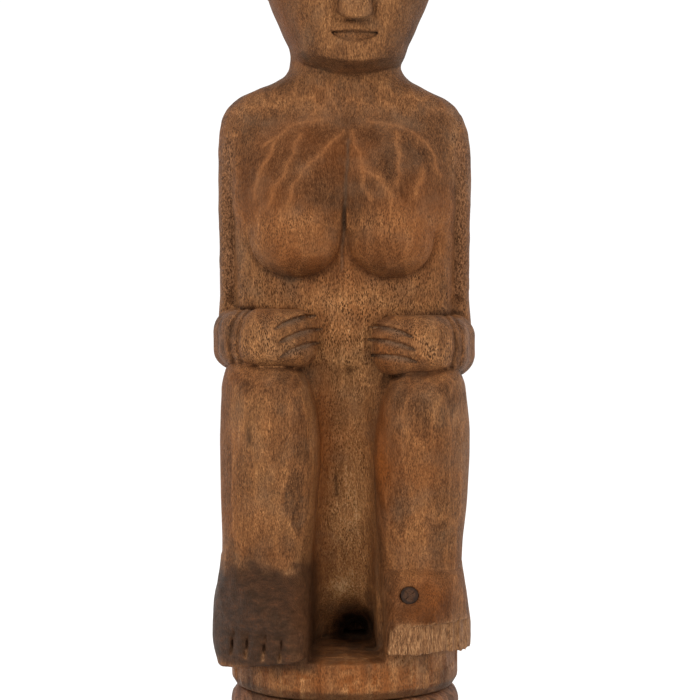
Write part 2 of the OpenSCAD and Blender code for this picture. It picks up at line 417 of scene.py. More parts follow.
log.join((-60, -64, 416), (64, 56, 549), head, 2.0)
log.join((-20, -60, 446), (28, -30, 494), nose, 1.0)

# The gap between the shins is opened before the shins are set in, so that its sides stay soft.
gap_floor = [(DRUM_TOP - 1, 12), (92, 10), (98, 8), (106, 4), (116, 0), (134, -5),
             (160, -10), (200, -16), (230, -20.5), (246, -24), (256, -34)]
gap = column([(z, -19.5, 18.5, -120, back, 5.0) for z, back in gap_floor], reach=5.0)
log.cut((-32, -84, 84), (30, 60, 258), gap, 8.0)
log.press((-24, -12, 84), (40, 44, 130), lambda x, y, z: (
    13 * bump(x, 6.5, 10) * bump(z, 90.5, 11) * smooth(-10, -2, y) * smooth(84, 86.5, z)))
for side, rows in ((-1, right_shin_rows), (1, left_shin_rows)):
    log.join((side * 45 - 36, -68, 112), (side * 45 + 36, 22, 256), shin(side, rows), 2.0, 0.5)

# A plane pared down the inner front edge of each shin.
log.cut((8, -70, 112), (44, -20, 240),
        lambda x, y, z: 0.8 * x + 0.6 * y + 11.6 + 3 * smooth(232, 240, z) + 0.02 * np.abs(z - 180), 0.5)
log.cut((-40, -70, 118), (-8, -20, 236),
        lambda x, y, z: -0.85 * x + 0.53 * y + 11.0 + 3 * smooth(228, 236, z) + 3 * smooth(140, 122, z), 0.5)
log.join((-84, -84, 72), (-12, 14, 144), right_foot, 3.0)
log.join((12, -80, 82), (80, 14, 138), left_foot, 1.4)
log.join((-84, -64, 240), (-6, 34, 292), forearm(-1, 266.4, 17.2), 0.8, 0.6)
log.join((6, -64, 238), (84, 34, 288), forearm(1, 262.6, 17.4), 0.8, 0.6)

# Nothing reaches past the log that the doll was cut from.
where, x, y, z = log.part((-84, -84, 60), (84, 68, 300))
log.depth[where] = soft_max(log.depth[where], np.hypot(x, y) - LOG_RADIUS, 5.0)

# Undersides of the toes, which slope up from the outer toe to the big toe.
log.cut((-84, -84, 60), (-14, -20, 96),
        lambda x, y, z: np.maximum(z - (86.8 + (x + 20) * 0.2), 66.5 - np.hypot(x, y)), 1.6)


# The broken front of the left foot: a steep face of torn fibres with a ragged lower edge.
def torn_line(x):
    return 0.5 * np.sin(x * 1.3) + 0.4 * np.sin(x * 2.9 + 1) + 0.3 * np.sin(x * 5.3 + 2)


def broken_toes(x, y, z):
    corner = 0.0016 * np.abs(x - 47) ** 2.2
    face = soft_min(y + 68.0 - corner, 78.4 - np.hypot(x, y), 3.0) - 0.10 * (z - 104.5)
    face = face - 0.6 * torn_line(x)
    return np.maximum(face, np.maximum(87.6 - z, z - 104.6 - 0.5 * torn_line(x * 0.6)))


def left_sole(x, y, z):
    return np.maximum(z - 88.6 + 1.5 * smooth(56, 66, x) - 0.5 * torn_line(x * 0.7), 67.0 - np.hypot(x, y))


log.cut((14, -84, 80), (80, -14, 106), broken_toes, 0.3)
log.cut((14, -84, 76), (80, -10, 96), left_sole, 0.3)


# Fibres pulled out of the drum's rim under the break.
def pulled_fibres(x, y, z):
    chips = np.clip(np.sin(x * 1.9 + z * 0.7) * np.sin(x * 0.83 + z * 1.7 + 1), 0, 1)
    return 1.6 * chips * bump(x, 33, 7.5) * bump(z, 83.5, 3.5) * smooth(-46, -52, y)


log.press((20, -72, 74), (46, -44, 92), pulled_fibres)


# Lines and hollows that follow the surface.
def stroke(points, width):
    """How near a place is to a drawn line across the front, one on the line and nothing off it."""

    def near(x, z):
        least = np.full(np.broadcast(x, z).shape, 1e3, np.float32)
        for (ax, az), (bx, bz) in zip(points, points[1:]):
            run = np.array([bx - ax, bz - az])
            t = np.clip(((x - ax) * run[0] + (z - az) * run[1]) / run.dot(run), 0, 1)
            least = np.minimum(least, np.hypot(x - ax - t * run[0], z - az - t * run[1]))
        return np.exp(-((least / width) ** 2))

    return near


def leaf(start, end, width):
    """A leaf-shaped cut between two points: steep along its upper edge and sloping out below."""
    (ax, az), (bx, bz) = start, end
    run = np.array([bx - ax, bz - az])
    long = math.hypot(*run)

    def near(x, z):
        along = ((x - ax) * run[0] + (z - az) * run[1]) / long**2
        across = ((z - az) * run[0] - (x - ax) * run[1]) / long
        half = width / 2 * np.clip(4 * along * (1 - along), 0, 1) ** 0.7 + 1e-3
        place = across / half
        return smooth(1.0, 0.8, place) * smooth(-1.0, 0.75, place) * (along > 0) * (along < 1)

    return near


finger_cuts = [
    ((-40.5, 271.2), (-16.0, 280.2)),
    ((-37.6, 263.6), (-13.0, 272.4)),
    ((-37.0, 255.4), (-14.5, 264.2)),
    ((15.0, 273.4), (39.0, 267.0)),
    ((13.4, 266.2), (41.2, 259.4)),
    ((15.0, 256.6), (42.0, 252.8)),
]
for start, end in finger_cuts:
    cut_here = leaf(start, end, 6.0)
    log.press((min(start[0], end[0]) - 4, -66, 244), (max(start[0], end[0]) + 4, -8, 288),
              lambda x, y, z: 2.6 * cut_here(x, z) * smooth(-12, -26, y))

wrist = stroke([(-53, 284), (-57.6, 279), (-60.4, 270), (-60.6, 260), (-57.5, 249)], 1.0)
cuff = stroke([(-58.5, 284), (-64.0, 276), (-66.2, 266), (-65.5, 258), (-62.5, 251)], 0.9)
left_wrist = stroke([(58.5, 280), (62.4, 273), (64.0, 262), (61.0, 249)], 0.9)
left_cuff = stroke([(63.5, 279), (67.4, 270), (68.4, 260), (66.6, 251)], 0.8)
log.press((-74, -64, 243), (-48, -10, 290), lambda x, y, z: wrist(x, z) + 0.8 * cuff(x, z))
log.press((54, -64, 241), (74, -10, 286), lambda x, y, z: 0.8 * left_wrist(x, z) + 0.6 * left_cuff(x, z))

TOE_LINES = [-64.2, -55.4, -45.2, -35.6]


def toe_cuts(x, z, width):
    """The knife lines between the toes of the right foot, which lean a little outward."""
    return sum(bump(x, at + 0.12 * (z - 90), width) for at in TOE_LINES)


def toes(x, y, z):
    low = smooth(101.0, 97.0, z) * smooth(-30, -42, y) * smooth(84.5, 87.5, z)
    cut = 2.2 * toe_cuts(x, z, 0.45) + sum(0.8 * bump(x, at, 2.2) for at in TOE_LINES)
    return cut * low + 1.2 * bump(z, 99.5, 2.2) * smooth(-40, -55, y) * (x < -24)


log.press((-76, -84, 70), (-24, -28, 104), toes)


def cleft_x(z):
    """The line between the breasts, which leans and wavers a little."""
    return -1.5 + 3.9 * (z - 312) / 70 + 0.25 * np.sin(z * 0.31)


def middle_lines(x, y, z):
    front = smooth(4, -8, y)
    cleft = 2.0 * bump(x, cleft_x(z), 0.8) * smooth(383, 376, z) * smooth(304, 314, z)
    cleft = cleft * (0.45 + 0.55 * smooth(352, 334, z))
    navel = 3.0 * bump(x, 3.2, 2.3) * bump(z, 248, 2.0) + 0.7 * bump(x, -1, 3) * bump(z, 247, 1.5)
    check = 0.9 * bump(x, -5.2 + 0.06 * (z - 180), 0.7) * smooth(171, 175, z) * smooth(196, 190, z)
    return (cleft + navel + check) * front


log.press((-12, -60, 160), (12, -4, 390), middle_lines)


# Rough vertical groove between upper arm and chest, with a deep nick at its foot.
def arm_grooves(x, y, z):
    out = np.abs(x)
    run = smooth(284, 290, z) * smooth(388, 372, z) * smooth(12, 0, y)
    chatter = 0.3 * np.sin(z * 1.35 + x) + 0.3 * np.sin(z * 0.47 + 2) + 0.25 * np.sin(z * 2.3 - 2.1 * x)
    groove = 0.7 * bump(out, 66.2, 1.0) + 0.9 * chatter * smooth(65.5, 68, out) * smooth(76, 73, out)
    nick = 3.4 * bump(out, 67.4, 2.6) * bump(z, 289, 4.0)
    return (groove + nick) * run


log.press((-78, -30, 282), (-56, 14, 392), arm_grooves)
log.press((56, -30, 282), (78, 14, 392), arm_grooves)


# The crease over the ankle of the left foot.
def ankle(x, y, z):
    return 1.1 * bump(z, 134.2 - 0.02 * (x - 45), 1.2) * smooth(18, 24, x) * smooth(-20, -40, y)


log.press((16, -60, 128), (74, -16, 140), ankle)


def step_line(x, y, width):
    """The wavering line round the drum's top, between the feet."""
    return bump(np.hypot(x, y), 51.0 + 0.8 * np.sin(x * 0.3), width)


# Step across the drum's top, between the feet.
def drum_step(x, y, z):
    line = step_line(x, y, 0.9) * smooth(78, 82, z)
    return 1.2 * line * smooth(-20, -40, y) * smooth(26, 20, np.abs(x))


log.press((-26, -60, 78), (28, -36, 92), drum_step)


# Face: calm and plain. Brows, closed eyes, a straight mouth, small ears, and a cap of short hair.
def mouth_share(u, z):
    mouth_h = np.clip(1 - (u / 14.6) ** 2, 0, 1)
    lower_lip = 443.6 - 6.0 * mouth_h**0.8
    upper_lip = 443.8 + 0.5 * mouth_h
    return smooth(0, 0.6, upper_lip - z) * smooth(0, 0.8, z - lower_lip) * (np.abs(u) < 14.6)


EYE_OUT = 20.5


def face_lines(x, y, z):
    u, v = turned(x, y)
    out = np.abs(u)
    off_eye = out - EYE_OUT
    front = smooth(-30, -36, v)
    inside = mouth_share(u, z)
    mouth = inside * (1.0 + 1.2 * smooth(438.5, 443.5, z))
    beside_nose = 0.9 * bump(out, 11.3 - 6.0 * np.clip((z - 456) / 32, 0, 1), 0.8)
    beside_nose = beside_nose + 0.7 * bump(u, -15.6, 0.7) * smooth(447, 452, z)
    beside_nose = beside_nose * smooth(449, 453, z) * smooth(484, 470, z) * (np.abs(v + 42) < 4)
    under_nose = 0.8 * bump(z, 450.4, 0.9) * (out < 11) * (v > -47)
    socket = 3.8 * bump(out, EYE_OUT, 9.5) * bump(z, 484, 6.0)
    lid = -1.9 * np.clip(1 - (off_eye / 10.5) ** 2 - ((z - 481.5) / 4.6) ** 2, 0, 1) ** 0.6
    slit = 2.0 * bump(z, 479.6 - 0.012 * off_eye**2, 0.8) * smooth(11.5, 8.5, np.abs(off_eye))
    brow = -1.3 * bump(z, 494.5 - 0.012 * (out - 18) ** 2, 2.2) * smooth(3, 7, out) * smooth(37, 30, out)
    return (mouth + beside_nose + under_nose + socket + lid + slit + brow) * front


log.press((-46, -60, 430), (52, -20, 500), face_lines)
for side in (-1, 1):
    ear_x = HEAD_X + side * 50.5
    ear = egg((ear_x, 5 - side * 4, 487), (4.6, 8.5, 13))
    log.join((ear_x - 9, -14, 470), (ear_x + 9, 26, 506), ear, 1.5)


def hair(x, y, z):
    u, v = turned(x, y)
    hairline = 509 - 0.62 * (v + 42) + 2.0 * np.cos(u / 14)
    cap = smooth(-0.8, 0.8, z - hairline)
    combed = 0.28 * np.sin(np.arctan2(u, v) * 46)
    return cap * (-1.1 + combed * smooth(545, 520, z))


log.press((-60, -56, 440), (64, 58, 551), hair)


# Back: spine, shoulder blades, the fold under the buttocks and the line of the stool.
def back_lines(x, y, z):
    behind = smooth(18, 34, y)
    spine = 2.6 * bump(x, 0, 5.5) * smooth(238, 262, z) * smooth(412, 380, z)
    blades = -1.8 * bump(np.abs(x), 32, 15) * bump(z, 366, 19)
    cleft = 3.2 * bump(x, 0, 2.2) * smooth(196, 206, z) * smooth(250, 238, z)
    seat_line = 1.8 * bump(z, 195, 1.7)
    arm_line = 2.2 * bump(np.abs(x), 61 - 0.03 * (z - 330), 2.0) * smooth(268, 280, z) * smooth(398, 380, z)
    return (spine + blades + cleft + seat_line + arm_line) * behind


log.press((-80, 10, 188), (80, 68, 416), back_lines)


# Round hole in the left instep for its plug, and the blind holes for dowel, pegs and screws.
def corners(node):
    """The lowest and the highest corner of a CAD node."""
    return tuple(np.array(corner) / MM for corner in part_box(node))


plug_low, plug_high = corners("instep_plug")
plug_middle = (plug_low + plug_high) / 2
PLUG_RADIUS = (plug_high[0] - plug_low[0]) / 2
INSTEP_LEAN = math.radians(21.0)
plug_way = np.array([0, -math.cos(INSTEP_LEAN), math.sin(INSTEP_LEAN)])
along_plug = np.arange(-2.0, 12.0, 0.1)
plug_face = along_plug[np.argmax(log.at(plug_middle + along_plug[:, None] * plug_way) > 0)]


def plug_hole(x, y, z):
    dx, dy, dz = x - plug_middle[0], y - plug_middle[1], z - plug_middle[2]
    along = dy * plug_way[1] + dz * plug_way[2]
    away = np.sqrt(np.maximum(dx * dx + dy * dy + dz * dz - along * along, 0))
    return np.maximum(away - PLUG_RADIUS - 0.1, -along - 5.0)


log.cut(plug_middle - 12, plug_middle + 16, plug_hole, 0.2)


def round_hole(middle_x, middle_y, radius, top):
    return lambda x, y, z: np.maximum(np.hypot(x - middle_x, y - middle_y) - radius, z - top)


def holes_of(node):
    """Middle x, middle y, radius and top of each upright round piece of a CAD node."""
    points = np.empty(len(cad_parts[node].data.vertices) * 3)
    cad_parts[node].data.vertices.foreach_get("co", points)
    points = points.reshape(-1, 3) / MM
    found = []
    while len(points):
        near = np.hypot(*(points[:, :2] - points[0, :2]).T) < 24
        low, high = points[near].min(0), points[near].max(0)
        found.append(((low[0] + high[0]) / 2, (low[1] + high[1]) / 2, (high[0] - low[0]) / 2, high[2]))
        points = points[~near]
    return found


for node, play in (("centre_dowel", 0.4), ("locating_pegs", 0.4), ("base_screws", -1.7)):
    for mx, my, radius, top in holes_of(node):
        reach = radius + 4
        log.cut((mx - reach, my - reach, 56), (mx + reach, my + reach, top + 3),
                round_hole(mx, my, radius + play, top + 0.8), 0.2)


# The tool marks. A gouge leaves a field of shallow scoops with low ridges between them.
JITTER_CELLS = 32
jitter = np.random.default_rng(7).random((JITTER_CELLS, JITTER_CELLS, JITTER_CELLS, 3))


def scoops(points, cell, shift=0):
    """Distance to the nearest and the next nearest scoop, in parts of a scoop's size."""
    place = points / np.array(cell) + shift
    home = np.floor(place).astype(int)
    first = np.full(len(points), 9.0)
    second = np.full(len(points), 9.0)
    tone = np.zeros(len(points))
    for step in np.ndindex(3, 3, 3):
        cube = home + np.array(step) - 1
        a, b, c = (cube % JITTER_CELLS).T
        away = np.linalg.norm(cube + 0.15 + 0.7 * jitter[a, b, c] - place, axis=1)
        nearer = away < first
        second = np.where(nearer, first, np.minimum(second, away))
        tone = np.where(nearer, jitter[b, c, a, 0], tone)
        first = np.where(nearer, away, first)
    return first, second, tone


# On the chest the cuts spread down from the notch of the collarbones, with ridges between them.
chest_ridges = [
    [(-1, 388), (-12, 376), (-24, 364), (-31, 352), (-33, 342)],
    [(-26, 386), (-32, 369), (-36, 360), (-42, 352), (-44, 342)],
    [(-38, 386), (-43, 375), (-50, 362), (-53, 348)],
    [(-8, 396), (-30, 392), (-46, 380)],
    [(4, 388), (8, 375), (12, 364), (21, 359), (26, 351), (28, 342)],
    [(10, 368), (11, 356), (15, 347)],
    [(30, 388), (32, 370), (31, 356)],
    [(14, 394), (34, 391), (50, 380), (56, 362)],
    [(46, 366), (44, 356), (40, 348)],
]


def from_chest_ridge(x, z):
    """Millimetres to the nearest ridge on the chest, seen from the front."""
    least = np.full(len(x), 99.0)
    for ridge_line in chest_ridges:
        for (ax, az), (bx, bz) in zip(ridge_line, ridge_line[1:]):
            run = np.array([bx - ax, bz - az])
            t = np.clip(((x - ax) * run[0] + (z - az) * run[1]) / run.dot(run), 0, 1)
            least = np.minimum(least, np.hypot(x - ax - t * run[0], z - az - t * run[1]))
    return least


def chest_share(points):
    x, y, z = points.T
    return smooth(-2, -12, y) * smooth(336, 346, z) * smooth(402, 394, z) * smooth(66, 58, np.abs(x))


def tool_marks(points):
    """Depth of the cuts in mm, and how sharply a place lies on a ridge between them."""
    x, y, z = points.T
    on_chest = chest_share(points)
    long_cuts = smooth(118, 128, z) * smooth(242, 230, z) + smooth(430, 438, z)
    long_cuts = np.maximum(long_cuts, smooth(66, 60, np.abs(x)) * smooth(286, 294, z) * smooth(334, 324, z))
    first, second, tone = scoops(points, (10, 10, 15))
    f2, s2, t2 = scoops(points, (12, 12, 52), 5)
    away = from_chest_ridge(x + 0.7 * np.sin(z * 0.5), z)
    scoop = (first**2 * (1 - long_cuts) + f2**2 * long_cuts) * (1 - on_chest)
    scoop = scoop + 0.62 * np.exp(-((away / 3.0) ** 2)) * on_chest
    ridge = smooth(0.16, 0.0, second - first) * (1 - long_cuts) + smooth(0.10, 0.0, s2 - f2) * long_cuts
    ridge = (0.5 - 0.3 * smooth(404, 424, z)) * ridge * (1 - on_chest) + 0.8 * np.exp(-(away**2)) * on_chest
    tone = (tone * (1 - long_cuts) + t2 * long_cuts) * (1 - 0.5 * on_chest)
    deep = 0.75 + 0.25 * on_chest - 0.45 * smooth(416, 426, z) + 0.3 * smooth(20, 40, y)
    deep = deep * smooth(62.5, 64.5, z)
    return deep * (0.45 - scoop), ridge, tone


def coordinates(surface):
    points = np.empty(len(surface.vertices) * 3)
    surface.vertices.foreach_get("co", points)
    return points.reshape(-1, 3)


def normals(surface):
    ways = np.empty(len(surface.vertices) * 3)
    surface.vertices.foreach_get("normal", ways)
    return ways.reshape(-1, 3)


def evaluated(holder):
    """A plain mesh of an object as its modifiers leave it."""
    return bpy.data.meshes.new_from_object(holder.evaluated_get(bpy.context.evaluated_depsgraph_get()))


def thinned(surface, most_triangles):
    """The same surface in no more than so many triangles."""
    surface.calc_loop_triangles()
    have = len(surface.loop_triangles)
    if have <= most_triangles:
        return surface
    holder = bpy.data.objects.new("thinning", surface)
    bpy.context.scene.collection.objects.link(holder)
    thin = holder.modifiers.new("thin", "DECIMATE")
    thin.ratio = most_triangles / have
    kept = evaluated(holder)
    bpy.data.objects.remove(holder)
    return kept


def worked(block, name, marks, most_triangles):
    """Meshes a block, takes the tool cuts out of it and thins it."""
    surface = block.mesh(name)
    points = coordinates(surface)
    points -= normals(surface) * marks(points)[0][:, None]
    surface.vertices.foreach_set("co", points.ravel())
    return thinned(surface, most_triangles)


def carry(surface, name, values):
    kept = surface.attributes.new(name, "FLOAT", "POINT")
    kept.data.foreach_set("value", np.asarray(values, np.float32))


def hollows(block, points, ways):
    """How closed in each place is, how much it stands out, and how sharp a crease it lies in."""
    near = 1 - block.at(points + ways * 2.5) / 2.5
    wide = 1 - block.at(points + ways * 8.0) / 8.0
    closed = np.clip(0.7 * near + 0.35 * wide, 0, 1)
    proud = np.clip(1 + block.at(points - ways * 3.0) / 3.0, 0, 1)
    crease = smooth(0.12, 0.75, 1 - block.at(points + ways * 1.5) / 1.5)
    return closed, proud, crease


figure_mesh = worked(log, "carved_figure_wood", tool_marks, MOST_TRIANGLES)
points, ways = coordinates(figure_mesh), normals(figure_mesh)
closed, proud, crease = hollows(log, points, ways)
ridge, cut_tone = tool_marks(points)[1:]
x, y, z = points.T


def spot(middle, size, strength):
    """A soft patch about a place, for the tone, the marks and the painted shade."""
    away = sum(((points[:, i] - middle[i]) / size[i]) ** 2 for i in range(3))
    return strength * np.exp(-away)


# The plug sits tight and the mouth is shallow: the darkened hollows and creases, dirt and painted shade, are
# taken off round the plug and partly off the mouth.
off_plug = 1 - spot(plug_middle, (6.5, 8, 6.5), 0.95)
closed = closed * off_plug
crease = crease * off_plug
closed = closed * (1 - 0.4 * smooth(436, 438, z) * smooth(450, 447, z) * smooth(-32, -38, y))


def on_front(near, lowest, highest, left, right):
    """Marks a drawn line on the faces that look forward within bounds."""
    inside = (z > lowest) & (z < highest) & (x > left) & (x < right)
    return near(x, z) * inside * smooth(0.1, 0.5, -ways[:, 1])


# Streaks down the drum, where the turned edge cuts across the fibres.
round_drum = 75 * np.arctan2(x, -y)
drum_streaks = np.sin(0.8 * round_drum + 2.2 * np.sin(0.27 * round_drum)) * np.sin(0.21 * round_drum + 1)
drum_streaks = drum_streaks * smooth(86, 82, z) * smooth(62, 64, z)

# Tone: patina where the doll has been rubbed and where it has darkened, and painted shade under the chin,
# on the sides of the head, in the mouth, on the shoulders' tops, under the breasts and the hands and in
# the pit between the feet. Zero is the plain wood.
# Each patch has its middle, its reach along x, y and z, and how much lighter or darker it is.
tone_patches = [
    ((-30, -38, 334), (20, 14, 8), 0.10),
    ((29, -38, 334), (20, 14, 8), 0.10),
    # painted shade on the lower halves of the breasts
    ((-28, -36, 306), (26, 14, 9), -0.12),
    ((28, -36, 306), (26, 14, 9), -0.12),
    ((0, -22, 290), (46, 16, 10), 0.19),
    ((0, -20, 262), (18, 12, 24), 0.22),
    ((-46, -56, 262), (12, 12, 10), 0.16),
    ((50, -56, 263), (10, 12, 9), 0.14),
    ((-70, -30, 264), (10, 20, 18), -0.10),
    # painted shadow under the hands, across the tops of the knees
    ((-44, -58, 242), (26, 14, 5), -0.10),
    ((44, -58, 240), (26, 14, 5), -0.10),
    ((-46, -58, 216), (14, 10, 5), 0.12),
    ((-40, -58, 180), (16, 14, 26), 0.04),
    ((50, -60, 222), (18, 10, 3.0), 0.20),
    ((-44, -56, 146), (16, 10, 7), -0.14),
    ((3, 0, 176), (14, 24, 64), 0.44),
    ((0, 4, 117), (12, 20, 10), 0.24),
    ((21, -48, 200), (5, 16, 40), -0.17),
    ((-8, -4, 150), (4, 20, 30), 0.08),
    # painted shadow in the pit at the foot of the gap between the shins
    ((6.5, 12, 90.5), (13, 30, 11), -0.8),
    ((2, -20, 87), (20, 26, 5), -0.10),
    ((46, -62, 114), (26, 12, 12), -0.5),
    ((6, -60, 190), (80, 30, 64), -0.09),
    ((0, -46, 330), (60, 16, 26), -0.05),
    ((0, -66, 74), (60, 14, 10), 0.07),
]
tone = (
    0.08 * smooth(428, 440, z) * smooth(-20, -38, y)
    # painted shade on the faces that look down under the chin
    - 0.17 * smooth(0.25, 0.7, -ways[:, 2]) * smooth(418, 424, z) * smooth(450, 444, z)
    # painted shade on the faces of the head that turn to the sides
    - 0.12 * smooth(0.35, 0.7, np.abs(ways[:, 0])) * smooth(428, 434, z)
    # painted shade in the mouth
    - 0.10 * mouth_share(turned(x, y)[0], z) * smooth(-30, -36, y)
    - 0.07 * chest_share(points)
    # painted shade on the faces that look up, across the shoulders
    - 0.10 * smooth(0.35, 0.75, ways[:, 2]) * smooth(372, 400, z)
    + drum_streaks * 0.16
    + sum(spot(*patch) for patch in tone_patches)
)
stain_edge = 137 + 2.5 * np.sin(x * 0.22) + 2.0 * np.sin(x * 0.5 + 2) + 1.5 * np.sin(z * 0.9 + x * 0.3)
stain = (1 - 0.2 * smooth(-34, -24, x)) * smooth(6, -6, z - stain_edge) * smooth(-12, -19, x)
stain = stain * smooth(14, -10, y) * smooth(74, 80, z + 0.05 * x)
torn = smooth(1.4, 0.5, np.abs(broken_toes(x, y, z))) * smooth(19, 23, x) * (z > 87) * (z < 106)
fresh = (
    torn * smooth(-0.1, -0.5, ways[:, 1])
    + 0.7 * smooth(91, 88, z) * smooth(84, 85.5, z) * toe_cuts(x, z, 0.9) * smooth(-44, -54, y) * (x < -20)
    + spot((-31, -52, 133), (3.2, 8, 1.6), 0.8)
    + spot((33, -60, 83.5), (9, 12, 3.2), 0.9)
)
ruddy_patches = [
    ((46, -62, 116), (26, 14, 16), 0.7),
    ((21, -48, 200), (6, 16, 44), 0.9),
    ((-13, -20, 190), (6, 30, 60), 0.8),
    ((0, -66, 74), (62, 20, 12), 0.7),
    ((-30, -60, 112), (9, 20, 20), 0.25),
    ((0, -30, 384), (40, 16, 22), 0.25),
    ((-28, -38, 318), (26, 14, 14), 0.3),
    ((30, -38, 316), (24, 14, 12), 0.3),
    ((28, -50, 262), (18, 14, 12), 0.5),
]
ruddy = sum(spot(*patch) for patch in ruddy_patches) - 0.5 * drum_streaks
open_grain = (
    0.45
    + 0.55 * smooth(312, 300, z) * smooth(244, 256, z)
    + 0.45 * smooth(58, 64, np.abs(x)) * smooth(244, 256, z)
    + spot((3, 0, 176), (16, 24, 64), 0.35)
    - 0.40 * chest_share(points)
    + spot((-30, -38, 334), (20, 14, 8), 0.4)
    + spot((29, -38, 334), (20, 14, 8), 0.4)
)
rough_cut = smooth(284, 292, z) * smooth(390, 378, z) * smooth(64.0, 67.0, np.abs(x)) * smooth(14, 4, y)
rough_cut = rough_cut * smooth(75.0, 73.0, np.abs(x))
grey = sum(on_front(leaf(a, b, 5.0), 246, 284, -44, 44) for a, b in finger_cuts)
grey = grey + 0.6 * bump(x, cleft_x(z), 0.8) * smooth(304, 310, z) * smooth(385, 382, z) * smooth(0, -10, y)
grey = grey + 0.8 * step_line(x, y, 1.0) * smooth(84, 86, z) * (z < 89) * (y < -20)
# Dark spots: knots and streaks on the drum, the wood round the knot, a line along the crack between the shins
# and a short mark on the right shin, and painted shade in the navel, in the cleft between the breasts and
# along the drum's tucked-in foot.
dark_spots_and_painted_shade = (
    # painted shade in the navel
    spot((3.2, -24, 248), (3.0, 12, 2.6), 0.8)
    + spot((-3.5, -24, 247), (3.0, 12, 1.6), 0.30)
    + on_front(stroke([(-4.4, 174), (-5.6, 186)], 0.9), 170, 196, -12, 2)
    + on_front(stroke([(-54.5, 216), (-53.8, 208)], 1.6), 200, 222, -60, -48)
    + 0.8 * bump(x, -54.5, 2.6) * smooth(63, 66, z) * smooth(82, 74, z) * smooth(-30, -38, y)
    + 0.8 * bump(x, 57.4, 3.2) * bump(z, 71, 6) * smooth(-18, -26, y)
    # painted shadow along the drum's tucked-in foot
    + 0.8 * smooth(68.5, 65.5, z) * (ways[:, 2] < 0.2)
    + spot(plug_middle, (7.2, 12, 7.2), 0.95)
    # painted shade in the cleft between the breasts
    + 0.5 * bump(x, cleft_x(z), 0.7) * smooth(326, 334, z) * smooth(384, 380, z) * smooth(0, -10, y)
)
# How far the scoops differ in tone from one another: less on the face, more on the shins' fronts.
cut_contrast = 0.17 - 0.11 * smooth(410, 424, z) + 0.08 * smooth(244, 236, z) * smooth(-20, -36, y)
carry(figure_mesh, "tone", tone + cut_contrast * (cut_tone - 0.5))
# Hollow and crease darken the wood, as dirt in the hollows and as painted shade; proud and ridge lighten it
# where it is worn.
carry(figure_mesh, "hollow", closed)
carry(figure_mesh, "proud", proud)
carry(figure_mesh, "ridge", ridge * smooth(0.35, 0.1, closed))
carry(figure_mesh, "crease", crease)
carry(figure_mesh, "rough_cut", rough_cut)
for which, share in (
    ("stain", stain), ("ruddy", ruddy), ("open_grain", open_grain),
    ("fresh", fresh), ("grey", grey), ("dark_spots_and_painted_shade", dark_spots_and_painted_shade),
):
    carry(figure_mesh, which, np.clip(share, 0, 1))


def colour(code):
    """An sRGB hex colour as linear red, green, blue and alpha."""
    parts = [int(code[i:i + 2], 16) / 255 for i in (1, 3, 5)]
    return [c / 12.92 if c <= 0.04045 else ((c + 0.055) / 1.055) ** 2.4 for c in parts] + [1.0]


def put(tree, kind, links=None, **settings):
    """Adds a node with its settings; links sets its inputs to values or joins them to outputs."""
    node = tree.nodes.new(kind)
    for name, value in settings.items():
        setattr(node, name, value)
    for socket, value in (links or {}).items():
        if isinstance(value, bpy.types.NodeSocket):
            tree.links.new(value, node.inputs[socket])
        else:
            node.inputs[socket].default_value = value
    return node


def blank(name):
    """A new material, its empty node tree, and the places on the piece that its patterns follow."""
    made = bpy.data.materials.new(name)
    made.use_nodes = True
    tree = made.node_tree
    tree.nodes.clear()
    return made, tree, put(tree, "ShaderNodeTexCoord").outputs["Object"]


def times(tree, a, b):
    return put(tree, "ShaderNodeMath", {0: a, 1: b}, operation="MULTIPLY").outputs[0]


def add(tree, a, b, scale=1.0):
    """a plus b times scale."""
    return put(tree, "ShaderNodeMath", {0: b, 1: scale, 2: a}, operation="MULTIPLY_ADD").outputs[0]


def spread(tree, value, low, high, to_low, to_high, kind="LINEAR"):
    """Stretches the range from low to high onto another one."""
    return put(tree, "ShaderNodeMapRange", {
        "Value": value, "From Min": low, "From Max": high, "To Min": to_low, "To Max": to_high,
    }, interpolation_type=kind).outputs[0]


def ramp(tree, value, stops):
    node = put(tree, "ShaderNodeValToRGB", {0: value})
    while len(node.color_ramp.elements) < len(stops):
        node.color_ramp.elements.new(0.5)
    for element, (place, shade) in zip(node.color_ramp.elements, stops):
        element.position = place
        element.color = colour(shade)
    return node.outputs["Color"]


def over(tree, share, below, above):
    return put(tree, "ShaderNodeMix", {0: share, 6: below, 7: above}, data_type="RGBA").outputs[2]


def noise(tree, coords, scale, detail, rough=0.5):
    return put(tree, "ShaderNodeTexNoise", {
        "Vector": coords, "Scale": scale, "Detail": detail, "Roughness": rough}).outputs["Fac"]


def along_log(tree, coords, width_mm, length_mm):
    """Places in parts of a pattern's width and of its length along the log."""
    return put(tree, "ShaderNodeMapping", {
        "Vector": coords, "Scale": (1 / width_mm / MM, 1 / width_mm / MM, 1 / length_mm / MM)}).outputs[0]


def grain(tree, coords, width_mm, length_mm, detail=3.0, rough=0.55):
    """Streaks along the log: noise that is drawn out along Z."""
    return noise(tree, along_log(tree, coords, width_mm, length_mm), 1.0, detail, rough)


def pores(tree, coords, width_mm, length_mm, size):
    """Open pores: short dark dashes along the grain, and dots where it comes out at the surface."""
    cells = put(tree, "ShaderNodeTexVoronoi", {
        "Vector": along_log(tree, coords, width_mm, length_mm), "Scale": 1.0, "Randomness": 1.0})
    return spread(tree, cells.outputs["Distance"], size, size * 0.45, 0.0, 1.0, "SMOOTHSTEP")


def finished(made, tree, base, gloss, height, strength, depth_mm, sockets):
    """Joins colour, roughness and relief to the shader, and sets the sockets that are the same all over."""
    relief = put(tree, "ShaderNodeBump", {
        "Height": height, "Strength": strength, "Distance": depth_mm * MM}).outputs[0]
    shader = put(tree, "ShaderNodeBsdfPrincipled", {
        "Base Color": base, "Roughness": gloss, "Normal": relief, **sockets})
    put(tree, "ShaderNodeOutputMaterial", {"Surface": shader.outputs[0]})
    return made


